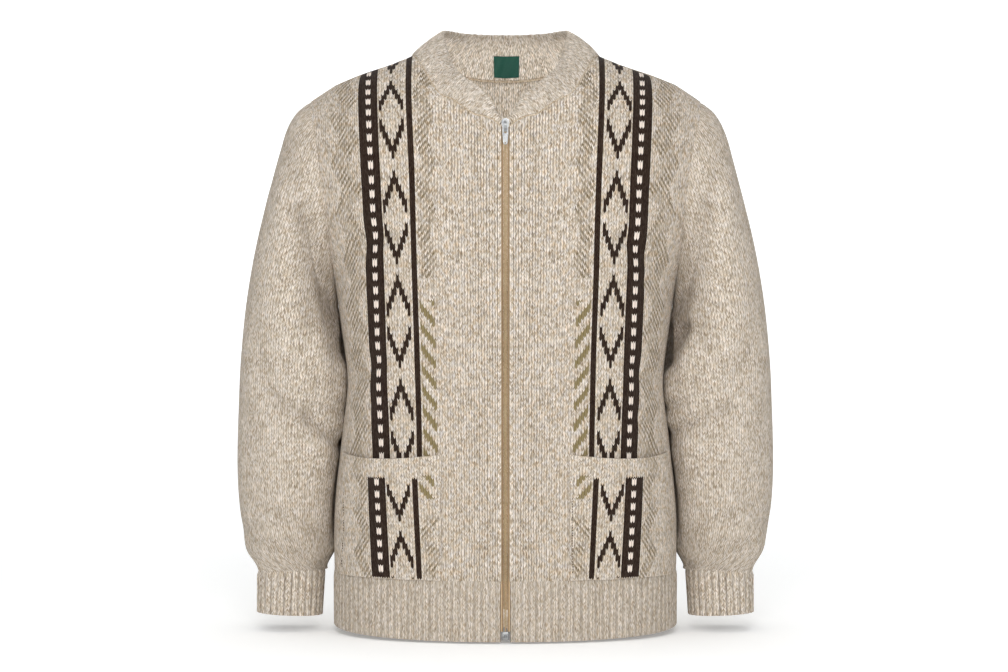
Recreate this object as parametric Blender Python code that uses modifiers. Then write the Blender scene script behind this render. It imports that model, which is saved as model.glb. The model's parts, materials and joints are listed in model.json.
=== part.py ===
"""Knitted full-zip sweater, filled out as when it is worn, hollow and open.

Metres, +Z up.  The front faces -Y and the wearer's left is +X.  The origin
lies midway between the two neck points, where the wearer's shoulders hold it.
"""

import math

import bmesh
import bpy
import numpy as np

# ------------------------------------------------------------ driving sizes

KNIT_WALL = 0.0024          # fronts, back, sleeves and pockets
RIB_WALL = 0.0030           # hem and cuffs
COLLAR_WALL = 0.0036        # neckband, folded double
TAPE_WALL = 0.0010
LABEL_WALL = 0.0010
SEAM_GAP = 0.0003

ROUNDNESS = 2.3             # exponent of the body's superelliptic sections
SHOULDER_FALL = 0.130       # height over which the body rounds into the shoulder ridge
UNDERARM = -0.270
HEM_SEAM = -0.611
HEM_SIDE = -0.664           # lower edge of the hem at the side seams
HEM_FRONT_DIP = 0.016
HEM_BACK_DIP = 0.006
FRONT_EDGE = 0.0054         # half the zip's visible width
NECK_POINT = 0.110          # where neckline and shoulder seam meet

BODY_SECTIONS = (
    # height, half_width, front_depth, back_depth
    (-0.690, 0.2015, 0.1330, 0.1230),
    (-0.611, 0.2020, 0.1355, 0.1245),
    (-0.545, 0.2020, 0.1360, 0.1240),
    (-0.450, 0.1930, 0.1310, 0.1190),
    (-0.385, 0.1865, 0.1280, 0.1170),
    (-0.320, 0.1940, 0.1290, 0.1200),
    (-0.270, 0.2015, 0.1290, 0.1240),
    (-0.200, 0.2215, 0.1250, 0.1270),
    (-0.130, 0.2430, 0.1195, 0.1260),
    (-0.060, 0.2620, 0.1180, 0.1220),
    (0.040, 0.2800, 0.1180, 0.1150),
)

ARMHOLE = (
    # height, half_width
    (-0.270, 0.2015),
    (-0.240, 0.2050),
    (-0.168, 0.2120),
    (-0.120, 0.2185),
    (-0.052, 0.2320),
    (0.040, 0.2320),
)

SHOULDER_RIDGE = (
    # across, height
    (0.000, 0.0415),
    (0.110, 0.0030),
    (0.137, -0.0080),
    (0.172, -0.0200),
    (0.202, -0.0320),
    (0.232, -0.0520),
)

FRONT_NECK = (
    # across, height
    (0.0054, -0.0905),
    (0.0120, -0.0840),
    (0.0220, -0.0790),
    (0.0370, -0.0755),
    (0.0480, -0.0680),
    (0.0600, -0.0595),
    (0.0790, -0.0490),
    (0.0920, -0.0270),
    (0.1040, -0.0040),
    (0.1100, 0.0030),
)

BACK_NECK = (
    # across, height
    (0.000, -0.0160),
    (0.042, -0.0140),
    (0.080, -0.0060),
    (0.104, 0.0010),
    (0.110, 0.0030),
)

COLLAR_STATIONS = (
    # station, seam_across, ridge_x, ridge_y, ridge_z   (0 at the zip, 7 at the side, 11 centre back)
    (0, 0.0066, 0.0066, -0.1130, -0.0815),
    (1, 0.0220, 0.0115, -0.1095, -0.0730),
    (2, 0.0370, 0.0195, -0.1030, -0.0580),
    (3, 0.0540, 0.0350, -0.0900, -0.0420),
    (4, 0.0760, 0.0530, -0.0700, -0.0260),
    (5, 0.0895, 0.0640, -0.0500, -0.0100),
    (6, 0.1005, 0.0710, -0.0260, 0.0130),
    (7, 0.1100, 0.0745, 0.0000, 0.0300),
    (8, 0.1040, 0.0700, 0.0280, 0.0360),
    (9, 0.0800, 0.0500, 0.0520, 0.0365),
    (10, 0.0420, 0.0260, 0.0640, 0.0370),
    (11, 0.0000, 0.0000, 0.0670, 0.0370),
)
COLLAR_SIDE = 7
COLLAR_BACK = 11
COLLAR_LIFT = 0.0026        # the band starts this far up from the seam
COLLAR_BULGE = 0.0030

SLEEVE_RINGS = (
    # ring, outer_x, outer_z, inner_x, inner_z, middle_y, front_depth, back_depth
    (0, 0.2325, -0.0520, 0.2087, -0.2720, 0.000, 0.060, 0.062),
    (1, 0.2495, -0.0665, 0.2100, -0.2800, 0.000, 0.064, 0.066),
    (2, 0.2620, -0.0905, 0.2100, -0.2880, 0.001, 0.067, 0.069),
    (3, 0.2730, -0.1260, 0.2095, -0.2980, 0.003, 0.070, 0.072),
    (4, 0.2860, -0.1760, 0.2060, -0.3100, 0.006, 0.072, 0.074),
    (5, 0.2995, -0.2330, 0.2000, -0.3260, 0.010, 0.073, 0.075),
    (6, 0.3105, -0.2950, 0.1930, -0.3490, 0.016, 0.073, 0.075),
    (7, 0.3165, -0.3550, 0.1860, -0.3830, 0.023, 0.071, 0.073),
    (8, 0.3195, -0.4100, 0.1840, -0.4240, 0.027, 0.066, 0.073),
    (9, 0.3205, -0.4600, 0.1890, -0.4660, 0.028, 0.068, 0.068),
    (10, 0.3195, -0.5150, 0.1970, -0.5150, 0.025, 0.063, 0.062),
    (11, 0.3160, -0.5550, 0.2040, -0.5530, 0.020, 0.056, 0.055),
    (12, 0.3080, -0.5860, 0.2100, -0.5820, 0.014, 0.047, 0.047),
    (13, 0.2956, -0.6095, 0.2193, -0.6035, 0.0063, 0.0343, 0.0343),
    (14, 0.2950, -0.6160, 0.2195, -0.6100, 0.006, 0.034, 0.034),
)
SLEEVE_ROUNDNESS = 2.15
ARMHOLE_GAP = 0.0012        # from the armhole's edge to the sleeve, at the shoulder
UNDERARM_GAP = 0.0049       # added to it towards the underarm, where the two walls turn face to face
UNDERARM_SINK = 0.0020
SLEEVE_CLEARANCE = 0.0065   # from the body's base surface to the sleeve's
CUFF_GAP = 0.0008           # below the sleeve's end, whose wall leans over it
CUFF_FOOT = -0.6630
CUFF_LEAN = 0.0010          # the cuff runs slightly outwards down to its edge

POCKET_INNER = 0.0730
POCKET_OUTER = 0.1870
POCKET_FOOT = -0.6100
POCKET_MOUTH = -0.4670
POCKET_SAG = 0.0060
POCKET_LAY = 0.0008         # clear of the front it is sewn on
POCKET_GAPE = 0.0028        # how far the mouth stands off

TAPE_INNER = 0.0025
TAPE_OUTER = 0.0125
TAPE_LAY = 0.0007
ZIP_TOP = -0.0905
ZIP_FOOT = -0.6690
CHAIN_HALF_WIDTH = 0.0021
CHAIN_DEPTH = 0.0022
CHAIN_TOP = -0.0925         # just under the slider's wedge
BOX_HALF_WIDTH = 0.0047
BOX_HEIGHT = 0.0092
BOX_DEPTH = 0.0034

SLIDER_TOP = -0.0805
SLIDER_LENGTH = 0.0155
SLIDER_HALF_WIDTH = 0.0045
SLIDER_MOUTH_HALF_WIDTH = 0.0033
PLATE_DEPTH = 0.0012
PLATE_CLEARANCE = 0.0003
BRIDGE_HALF_WIDTH = 0.0015
PULL_AXIS_HEIGHT = -0.0885
PULL_LENGTH = 0.0227        # from the axis to its lower end
PULL_HALF_WIDTH = 0.0035
PULL_FOOT_HALF_WIDTH = 0.0027
PULL_DEPTH = 0.0012
PULL_BAR = 0.0007           # half the height of the bar that turns under the bridge
EYE_HALF_WIDTH = 0.0019
EYE_LENGTH = 0.0098
HANG_HOLE_RADIUS = 0.0010
HANG_HOLE_RISE = 0.0020

LABEL_HALF_WIDTH = 0.0150
LABEL_SHIFT = 0.0015        # it is sewn a little off the centre
LABEL_LOW = 0.08            # fractions of the neckband's height
LABEL_HIGH = 0.55
LABEL_LAY = 0.0012

# ------------------------------------------------------------ shape helpers


def through(rows, column, at):
    """Smooth curve through a table: cubic pieces, each row's slope set by its two neighbours."""
    table = np.array(rows, dtype=float)
    key = table[:, 0]
    value = table[:, column]
    slope = np.gradient(value, key)
    at = np.clip(np.asarray(at, dtype=float), key[0], key[-1])
    low = np.clip(np.searchsorted(key, at, side="right") - 1, 0, len(key) - 2)
    span = key[low + 1] - key[low]
    f = (at - key[low]) / span
    start = (1 + 2 * f) * (1 - f) ** 2 * value[low] + f * (1 - f) ** 2 * span * slope[low]
    end = f * f * (3 - 2 * f) * value[low + 1] - f * f * (1 - f) * span * slope[low + 1]
    return start + end


def straight(rows, column, at):
    """Straight lines between a table's rows."""
    table = np.array(rows, dtype=float)
    return np.interp(at, table[:, 0], table[:, column])


def shoulder_rounding(across, height):
    """1 on the chest, falling to 0 on the shoulder ridge along a quarter circle."""
    below = (straight(SHOULDER_RIDGE, 1, across) - height) / SHOULDER_FALL
    return np.sqrt(1 - (1 - np.clip(below, 0, 1)) ** 2)


def half_width(height):
    """Half the width of the body's section, carried on past the armhole above the underarm."""
    return through(BODY_SECTIONS, 1, height)


def turn(across, height):
    """Angle round the section, 0 at the middle and a quarter turn at the side."""
    share = np.clip(across / half_width(height), 0, 1)
    return np.arcsin(share ** (ROUNDNESS / 2))


def body_point(angle, height, side):
    """Point of the body's base surface; side is -1 on the front and +1 on the back."""
    across = half_width(height) * np.sin(angle) ** (2 / ROUNDNESS)
    depth = through(BODY_SECTIONS, 2 if side < 0 else 3, height)
    depth = depth * np.cos(angle) ** (2 / ROUNDNESS) * shoulder_rounding(across, height)
    return np.stack([across, side * (depth + SEAM_GAP / 2), height + 0 * across], axis=-1)


def edge_angle(height):
    """Angle of the side seam, and above the underarm that of the armhole's edge."""
    armhole = turn(through(ARMHOLE, 1, height), height)
    return np.where(height <= UNDERARM, math.pi / 2, armhole)


def surface_normals(points, inside):
    """Unit normals of a grid of points, turned away from the points of the array inside."""
    along = np.gradient(points, axis=0)
    across = np.gradient(points, axis=1)
    normals = np.cross(along, across)
    normals /= np.linalg.norm(normals, axis=-1, keepdims=True)
    if np.sum(normals * (points - inside)) < 0:
        normals = -normals
    return normals


def body_axis(points):
    """The body's upright axis at the heights of the points."""
    return points * np.array([0.0, 0.0, 1.0])


# ------------------------------------------------------------ Blender helpers


def clear_scene():
    for item in list(bpy.data.objects):
        bpy.data.objects.remove(item, do_unlink=True)


def new_collection(name):
    collection = bpy.data.collections.new(name)
    bpy.context.scene.collection.children.link(collection)
    return collection


def new_material(name, colour, roughness, metallic=0.0):
    material = bpy.data.materials.new(name)
    material.use_nodes = True
    shader = material.node_tree.nodes["Principled BSDF"]
    shader.inputs["Base Color"].default_value = (*colour, 1.0)
    shader.inputs["Roughness"].default_value = roughness
    shader.inputs["Metallic"].default_value = metallic
    return material


def link(mesh, name, collection, material):
    item = bpy.data.objects.new(name, mesh)
    collection.objects.link(item)
    mesh.materials.append(material)
    return item


def cloth(name, points, inside, wall, place, material, offset=1.0, ring=False):
    """A panel or tube of cloth: a grid of points, given its wall by a Solidify modifier.

    The faces look away from the points of the array inside.  An offset of 1 puts the wall
    outside the grid, and 0 puts the grid in its middle.  A ring's last column meets its first.
    """
    rows, columns = points.shape[:2]
    index = np.arange(rows * columns).reshape(rows, columns)
    if ring:
        index = np.hstack([index, index[:, :1]])
    corners = (index[:-1, :-1], index[:-1, 1:], index[1:, 1:], index[1:, :-1])
    faces = np.stack(corners, axis=-1).reshape(-1, 4)
    flat = points.reshape(-1, 3)
    diagonal_a = flat[faces[:, 2]] - flat[faces[:, 0]]
    diagonal_b = flat[faces[:, 3]] - flat[faces[:, 1]]
    centre = flat[faces].mean(axis=1)
    outwards = centre - np.broadcast_to(inside, points.shape).reshape(-1, 3)[faces].mean(axis=1)
    if np.sum(np.cross(diagonal_a, diagonal_b) * outwards) < 0:
        faces = faces[:, ::-1]
    mesh = bpy.data.meshes.new(name)
    mesh.from_pydata(flat.tolist(), [], faces.tolist())
    mesh.shade_smooth()
    item = link(mesh, name, place, material)
    solidify = item.modifiers.new("wall", "SOLIDIFY")
    solidify.thickness = wall
    solidify.offset = offset
    return item


def plate(name, outline, holes, depth, place, material):
    """A flat plate in the XZ plane, centred on y = 0: a filled curve made into a mesh."""
    curve = bpy.data.curves.new(name, "CURVE")
    curve.dimensions = "2D"
    curve.fill_mode = "BOTH"
    curve.extrude = depth / 2
    for loop in [outline, *holes]:
        spline = curve.splines.new("POLY")
        spline.points.add(len(loop) - 1)
        for point, (x, z) in zip(spline.points, loop):
            point.co = (x, z, 0.0, 1.0)
        spline.use_cyclic_u = True
    flat = bpy.data.objects.new(name + "_outline", curve)
    place.objects.link(flat)
    flat.rotation_euler = (math.pi / 2, 0.0, 0.0)
    bpy.context.view_layer.update()
    evaluated = flat.evaluated_get(bpy.context.evaluated_depsgraph_get())
    mesh = bpy.data.meshes.new_from_object(evaluated)
    mesh.transform(flat.matrix_world)
    bpy.data.objects.remove(flat, do_unlink=True)
    weld(mesh)
    mesh.materials.clear()
    return link(mesh, name, place, material)


def weld(mesh):
    """Join a curve's loose caps to its sides."""
    work = bmesh.new()
    work.from_mesh(mesh)
    bmesh.ops.remove_doubles(work, verts=work.verts, dist=0.00001)
    bmesh.ops.recalc_face_normals(work, faces=work.faces)
    work.to_mesh(mesh)
    work.free()


def join_solid(target, tool, cutters):
    """Union a tool into a target by an exact Boolean."""
    for collection in list(tool.users_collection):
        collection.objects.unlink(tool)
    cutters.objects.link(tool)
    tool.hide_render = True
    tool.display_type = "WIRE"
    union = target.modifiers.new("join_" + tool.name, "BOOLEAN")
    union.operation = "UNION"
    union.solver = "EXACT"
    union.object = tool


def arc(centre, radius, start, end, steps):
    """Points along an arc, angles in degrees."""
    angles = np.radians(np.linspace(start, end, steps))
    return [(centre[0] + radius * math.cos(a), centre[1] + radius * math.sin(a)) for a in angles]


# ------------------------------------------------------------ body panels


def body_grid(side, first, column_tops, top_heights, row_shares):
    """Grid of a front or back: its columns run from the hem seam up to the neck or shoulder."""
    first_top = turn(np.full_like(column_tops, first), top_heights)
    share = (turn(column_tops, top_heights) - first_top) / (edge_angle(top_heights) - first_top)
    share = np.clip(share, 0, 1)
    heights = HEM_SEAM + SEAM_GAP / 2 + (top_heights - HEM_SEAM) * row_shares[:, None]
    start = turn(np.full_like(heights, first), heights)
    angle = start + (edge_angle(heights) - start) * share
    return body_point(angle, heights, side)


def row_shares(below, above):
    """Shares of a column's height, with one row that meets the underarm at the side."""
    shoulder_tip = SHOULDER_RIDGE[-1][1]
    underarm = (UNDERARM - HEM_SEAM) / (shoulder_tip - HEM_SEAM)
    return np.concatenate([np.linspace(0, underarm, below + 1), np.linspace(underarm, 1, above + 1)[1:]])


def front_top(across):
    """Height of the front's upper edge: the neckline, then the shoulder seam."""
    neck = through(FRONT_NECK, 1, across)
    return np.where(across < NECK_POINT, neck, straight(SHOULDER_RIDGE, 1, across))


def back_top(across):
    neck = through(BACK_NECK, 1, across)
    return np.where(across < NECK_POINT, neck, straight(SHOULDER_RIDGE, 1, across))


def make_front(name, hand, place, material):
    tops = np.concatenate([
        np.linspace(FRONT_EDGE, NECK_POINT, 10),
        np.linspace(NECK_POINT, ARMHOLE[-1][1], 6)[1:],
    ])
    points = body_grid(-1, FRONT_EDGE, tops, front_top(tops), row_shares(10, 9))
    points[..., 0] *= hand
    cloth(name, points, body_axis(points), KNIT_WALL, place, material)


def make_back(place, material):
    tops = np.concatenate([
        np.linspace(0.0, NECK_POINT, 7),
        np.linspace(NECK_POINT, ARMHOLE[-1][1], 6)[1:],
    ])
    points = body_grid(1, 0.0, tops, back_top(tops), row_shares(9, 8))
    points[:, 0, 0] = 0.0
    mirrored = points[:, :0:-1] * np.array([-1.0, 1.0, 1.0])
    points = np.concatenate([mirrored, points], axis=1)
    cloth("back", points, body_axis(points), KNIT_WALL, place, material)


def hem_points(side, first, columns, rows):
    """Rib below the hem seam; its lower edge dips towards the middle."""
    dip = HEM_FRONT_DIP if side < 0 else HEM_BACK_DIP
    share = np.linspace(0, 1, columns)
    start = turn(np.float64(first), np.float64(HEM_SEAM))
    angle = start + (math.pi / 2 - start) * share
    foot = HEM_SIDE - dip * np.cos(angle) ** 0.8
    down = np.linspace(0, 1, rows)[:, None]
    top = HEM_SEAM - SEAM_GAP / 2
    heights = top + (foot - top) * down
    return body_point(np.broadcast_to(angle, heights.shape), heights, side)


def make_hem(place, material):
    for name, hand in (("hem_front_left", 1), ("hem_front_right", -1)):
        points = hem_points(-1, FRONT_EDGE, 15, 3)
        points[..., 0] *= hand
        cloth(name, points, body_axis(points), RIB_WALL, place, material)
    half = hem_points(1, 0.0, 12, 3)
    half[:, 0, 0] = 0.0
    points = np.concatenate([half[:, :0:-1] * np.array([-1.0, 1.0, 1.0]), half], axis=1)
    cloth("hem_back", points, body_axis(points), RIB_WALL, place, material)


# ------------------------------------------------------------ sleeves and cuffs


def superellipse(steps):
    """Unit superellipse from the outer side, round by the front to the inner side and back."""
    angle = np.linspace(0, 2 * math.pi, steps, endpoint=False)
    c = np.cos(angle)
    s = np.sin(angle)
    power = 2 / SLEEVE_ROUNDNESS
    return np.sign(c) * np.abs(c) ** power, np.sign(s) * np.abs(s) ** power


def sleeve_ring(ring, steps):
    """One ring of the sleeve, in the plane through its outer and inner points."""
    outwards, forwards = superellipse(steps)
    row = [through(SLEEVE_RINGS, column, float(ring)) for column in range(1, 8)]
    outer_x, outer_z, inner_x, inner_z, middle_y, front, back = row
    x = (outer_x + inner_x) / 2 + outwards * (outer_x - inner_x) / 2
    z = (outer_z + inner_z) / 2 + outwards * (outer_z - inner_z) / 2
    y = middle_y - forwards * np.where(forwards > 0, front, back)
    return np.stack([x, y, z], axis=-1)


def armhole_ring(steps):
    """The sleeve's first ring: the body's armhole edge, moved out, most at the underarm."""
    outwards, forwards = superellipse(steps)
    top = SHOULDER_RIDGE[-1][1]
    z = (top + UNDERARM) / 2 + outwards * (top - UNDERARM) / 2
    angle = edge_angle(z)
    front = body_point(angle, z, -1)
    back = body_point(angle, z, 1)
    loop = np.where((forwards > 0)[:, None], front, back)
    loop[0, 1] = 0.0
    loop[steps // 2, 1] = 0.0
    low = (1 - outwards) / 2
    loop[:, 0] += ARMHOLE_GAP + UNDERARM_GAP * low ** 0.45
    loop[:, 2] -= UNDERARM_SINK * low ** 2
    return loop


def clear_of_body(points):
    """Push a sleeve's points out until they clear the side of the body."""
    height = np.minimum(points[..., 2], UNDERARM)
    front = through(BODY_SECTIONS, 2, height)
    back = through(BODY_SECTIONS, 3, height)
    depth = np.where(points[..., 1] < 0, front, back) + SLEEVE_CLEARANCE
    share = np.clip(np.abs(points[..., 1]) / depth, 0, 1)
    limit = (half_width(height) + SLEEVE_CLEARANCE) * (1 - share ** ROUNDNESS) ** (1 / ROUNDNESS)
    cleared = points.copy()
    cleared[..., 0] = np.maximum(points[..., 0], limit)
    return cleared


def sleeve_points(steps):
    last = SLEEVE_RINGS[-1][0]
    rings = [armhole_ring(steps)]
    rings += [clear_of_body(sleeve_ring(ring, steps)) for ring in range(1, last + 1)]
    return np.array(rings)


def ring_centres(points):
    return np.broadcast_to(points.mean(axis=1, keepdims=True), points.shape)


def make_sleeve(name, hand, place, material):
    points = sleeve_points(20)
    points[..., 0] *= hand
    cloth(name, points, ring_centres(points), KNIT_WALL, place, material, ring=True)


def make_cuff(name, hand, place, material):
    top = sleeve_ring(SLEEVE_RINGS[-1][0], 20)
    top[:, 2] -= CUFF_GAP
    foot = top.copy()
    foot[:, 0] += CUFF_LEAN
    foot[:, 2] = CUFF_FOOT
    points = np.array([top, (top + foot) / 2, foot])
    points[..., 0] *= hand
    cloth(name, points, ring_centres(points), RIB_WALL, place, material, ring=True)


# ------------------------------------------------------------ neckband


def collar_seam(station):
    """Point of the body's neckline at a station of the neckband."""
    across = through(COLLAR_STATIONS, 1, station)
    across = np.clip(across, 0, NECK_POINT)
    front_height = through(FRONT_NECK, 1, across)
    back_height = through(BACK_NECK, 1, across)
    front = body_point(turn(across, front_height), front_height, -1)
    back = body_point(turn(across, back_height), back_height, 1)
    return np.where((station <= COLLAR_SIDE)[..., None], front, back)


def collar_points(stations, shares):
    """Middle surface of the neckband, from the seam (share 0) up to its folded ridge (share 1)."""
    seam = collar_seam(stations)
    seam[stations == COLLAR_SIDE, 1] = 0.0
    ridge = np.stack([through(COLLAR_STATIONS, column, stations) for column in (2, 3, 4)], axis=-1)
    rise = ridge - seam
    seam = seam + rise / np.linalg.norm(rise, axis=-1, keepdims=True) * COLLAR_LIFT
    share = shares[:, None, None]
    points = seam + (ridge - seam) * share
    outwards = surface_normals(points, np.array([0.0, 0.0, -0.05]))
    return points + outwards * (COLLAR_BULGE * 4 * share * (1 - share) + KNIT_WALL / 2)


def make_collar(place, material):
    stations = np.linspace(0, COLLAR_BACK, 2 * COLLAR_BACK + 1)
    points = collar_points(stations, np.linspace(0, 1, 5))
    points[:, -1, 0] = 0.0
    mirrored = points[:, -2::-1] * np.array([-1.0, 1.0, 1.0])
    points = np.concatenate([points, mirrored], axis=1)
    inside = np.array([0.0, 0.0, -0.05])
    cloth("collar", points, inside, COLLAR_WALL, place, material, offset=0.0)


def make_label(place, material):
    """A flat label that follows the inner face of the neckband at the centre back."""
    reach = LABEL_HALF_WIDTH / COLLAR_STATIONS[-2][1]
    stations = COLLAR_BACK - reach * np.linspace(1, 0, 3)
    shares = np.linspace(LABEL_LOW, LABEL_HIGH, 4)
    half = collar_points(stations, shares)
    half[:, -1, 0] = 0.0
    half[..., 0] *= LABEL_HALF_WIDTH / half[:, :1, 0]
    points = np.concatenate([half, half[:, -2::-1] * np.array([-1.0, 1.0, 1.0])], axis=1)
    inside = np.array([0.0, 0.0, -0.05])
    points -= surface_normals(points, inside) * (COLLAR_WALL / 2 + LABEL_LAY)
    points[..., 0] += LABEL_SHIFT
    cloth("neck_label", points, inside, LABEL_WALL, place, material, offset=-1.0)


# ------------------------------------------------------------ pockets


def make_pocket(name, hand, place, material):
    """Patch pocket made from the front's own points, moved out; its mouth stands off a little."""
    across_share = np.linspace(0, 1, 9)
    up = np.linspace(0, 1, 8)[:, None]
    mouth = POCKET_MOUTH - POCKET_SAG * 4 * across_share * (1 - across_share)
    heights = POCKET_FOOT + (mouth - POCKET_FOOT) * up
    inner = turn(np.full_like(heights, POCKET_INNER), heights)
    outer = turn(np.full_like(heights, POCKET_OUTER), heights)
    base = body_point(inner + (outer - inner) * across_share, heights, -1)
    outwards = surface_normals(base, body_axis(base))
    gape = POCKET_GAPE * np.sin(math.pi * across_share) * up ** 2
    points = base + outwards * (KNIT_WALL + POCKET_LAY + gape)[..., None]
    points[..., 0] *= hand
    cloth(name, points, body_axis(points), KNIT_WALL, place, material)


# ------------------------------------------------------------ zip


def zip_line(heights):
    """The centre front of the body's base surface."""
    return body_point(np.zeros_like(heights), heights, -1)[..., 1]


def make_zip_tape(name, hand, place, material):
    heights = np.linspace(ZIP_TOP, ZIP_FOOT, 25)
    across = np.array([TAPE_INNER, TAPE_OUTER])
    y = zip_line(heights) + TAPE_LAY
    points = np.empty((len(heights), 2, 3))
    points[..., 0] = across * hand
    points[..., 1] = y[:, None]
    points[..., 2] = heights[:, None]
    behind = points + np.array([0.0, 0.1, 0.0])
    cloth(name, points, behind, TAPE_WALL, place, material, offset=-1.0)


def make_zip_chain(place, material):
    heights = np.linspace(CHAIN_TOP, ZIP_FOOT, 25)
    across = np.array([-1.0, 0.0, 1.0]) * CHAIN_HALF_WIDTH
    crown = np.array([0.0, 0.0003, 0.0])
    middle = zip_line(heights) + TAPE_LAY + TAPE_WALL / 2
    points = np.empty((len(heights), 3, 3))
    points[..., 0] = across
    points[..., 1] = middle[:, None] - crown
    points[..., 2] = heights[:, None]
    behind = points + np.array([0.0, 0.1, 0.0])
    cloth("zip_chain", points, behind, CHAIN_DEPTH, place, material, offset=0.0)


def make_zip_box(place, material):
    top = ZIP_FOOT - SEAM_GAP
    middle_y = zip_line(np.array([top]))[0] + TAPE_LAY + TAPE_WALL / 2
    bpy.ops.mesh.primitive_cube_add(size=1.0, location=(0.0, middle_y, top - BOX_HEIGHT / 2))
    box = bpy.context.object
    box.name = "zip_box"
    box.dimensions = (2 * BOX_HALF_WIDTH, BOX_DEPTH, BOX_HEIGHT)
    bpy.ops.object.transform_apply(location=False, rotation=False, scale=True)
    for collection in list(box.users_collection):
        collection.objects.unlink(box)
    place.objects.link(box)
    box.data.materials.append(material)
    bevel = box.modifiers.new("rounded_edges", "BEVEL")
    bevel.width = 0.0007
    bevel.segments = 2


def slider_outline():
    """Shield shape: round shoulders above, narrowing to the mouth that the chain runs out of."""
    low = SLIDER_TOP - SLIDER_LENGTH
    shoulder = SLIDER_TOP - 0.0042
    right = [
        (SLIDER_MOUTH_HALF_WIDTH - 0.0006, low),
        (SLIDER_MOUTH_HALF_WIDTH, low + 0.0006),
        (SLIDER_MOUTH_HALF_WIDTH, low + 0.0050),
        (SLIDER_HALF_WIDTH, shoulder - 0.0022),
        (SLIDER_HALF_WIDTH, shoulder),
        (SLIDER_HALF_WIDTH * 0.82, SLIDER_TOP - 0.0018),
        (SLIDER_HALF_WIDTH * 0.45, SLIDER_TOP - 0.0004),
    ]
    left = [(-x, z) for x, z in reversed(right)]
    return [*right, (0.0, SLIDER_TOP), *left]


def plate_front_face():
    """Where the slider's front plate faces forwards."""
    chain_middle = zip_line(np.array([PULL_AXIS_HEIGHT]))[0] + TAPE_LAY + TAPE_WALL / 2
    return chain_middle - CHAIN_DEPTH / 2 - 0.0003 - PLATE_CLEARANCE - PLATE_DEPTH


def make_slider(place, cutters, material):
    """Two plates on a wedge, with a bridge over the front one for the pull to turn in."""
    front_face = plate_front_face()
    chain_middle = zip_line(np.array([PULL_AXIS_HEIGHT]))[0] + TAPE_LAY + TAPE_WALL / 2
    back_face = chain_middle + (chain_middle - front_face)
    slider = plate("zip_slider", slider_outline(), [], PLATE_DEPTH, place, material)
    slider.location.y = front_face + PLATE_DEPTH / 2
    back_plate = plate("slider_back_plate", slider_outline(), [], PLATE_DEPTH, place, material)
    back_plate.location.y = back_face - PLATE_DEPTH / 2
    wedge_outline = [
        (0.0, CHAIN_TOP + 0.0006),
        (0.0013, CHAIN_TOP + 0.0050),
        (0.0006, SLIDER_TOP - 0.0010),
        (-0.0006, SLIDER_TOP - 0.0010),
        (-0.0013, CHAIN_TOP + 0.0050),
    ]
    wedge_depth = back_face - front_face - PLATE_DEPTH
    wedge = plate("slider_wedge", wedge_outline, [], wedge_depth, place, material)
    wedge.location.y = (front_face + back_face) / 2
    rise = 0.0041
    window_rise = 0.0026
    foot = PLATE_DEPTH / 2
    outer = [
        (-foot, -0.0062),
        (rise - 0.0022, -0.0062),
        (rise - 0.0004, -0.0038),
        (rise, -0.0010),
        (rise, 0.0015),
        (rise - 0.0010, 0.0042),
        (rise - 0.0028, 0.0056),
        (-foot, 0.0056),
    ]
    window = [
        (0.0002, -0.0034),
        (window_rise - 0.0008, -0.0030),
        (window_rise, -0.0010),
        (window_rise, 0.0014),
        (window_rise - 0.0008, 0.0032),
        (0.0002, 0.0034),
    ]
    bridge = plate("slider_bridge", outer, [window], 2 * BRIDGE_HALF_WIDTH, place, material)
    bridge.rotation_euler = (0.0, 0.0, -math.pi / 2)
    bridge.location = (0.0, front_face, PULL_AXIS_HEIGHT)
    for tool in (back_plate, wedge, bridge):
        join_solid(slider, tool, cutters)


def make_pull(place, material):
    """Tapered tab with a long eye; the bar above the eye turns under the slider's bridge."""
    foot_radius = PULL_FOOT_HALF_WIDTH
    foot = -PULL_LENGTH + foot_radius
    outline = [
        (PULL_HALF_WIDTH - 0.0010, PULL_BAR),
        (-PULL_HALF_WIDTH + 0.0010, PULL_BAR),
        (-PULL_HALF_WIDTH, PULL_BAR - 0.0010),
        (-PULL_HALF_WIDTH, -EYE_LENGTH),
        *arc((0.0, foot), foot_radius, 180, 360, 11),
        (PULL_HALF_WIDTH, -EYE_LENGTH),
        (PULL_HALF_WIDTH, PULL_BAR - 0.0010),
    ]
    eye_low = -EYE_LENGTH + EYE_HALF_WIDTH
    eye = [
        (EYE_HALF_WIDTH, -PULL_BAR),
        (-EYE_HALF_WIDTH, -PULL_BAR),
        *arc((0.0, eye_low), EYE_HALF_WIDTH, 180, 360, 9),
    ]
    hang_hole = arc((0.0, -PULL_LENGTH + HANG_HOLE_RISE), HANG_HOLE_RADIUS, 0, 330, 12)
    pull = plate("zip_pull", outline, [eye, hang_hole], PULL_DEPTH, place, material)
    pull.location = (0.0, plate_front_face() - 0.0014, PULL_AXIS_HEIGHT)


# ------------------------------------------------------------ the sweater


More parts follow.
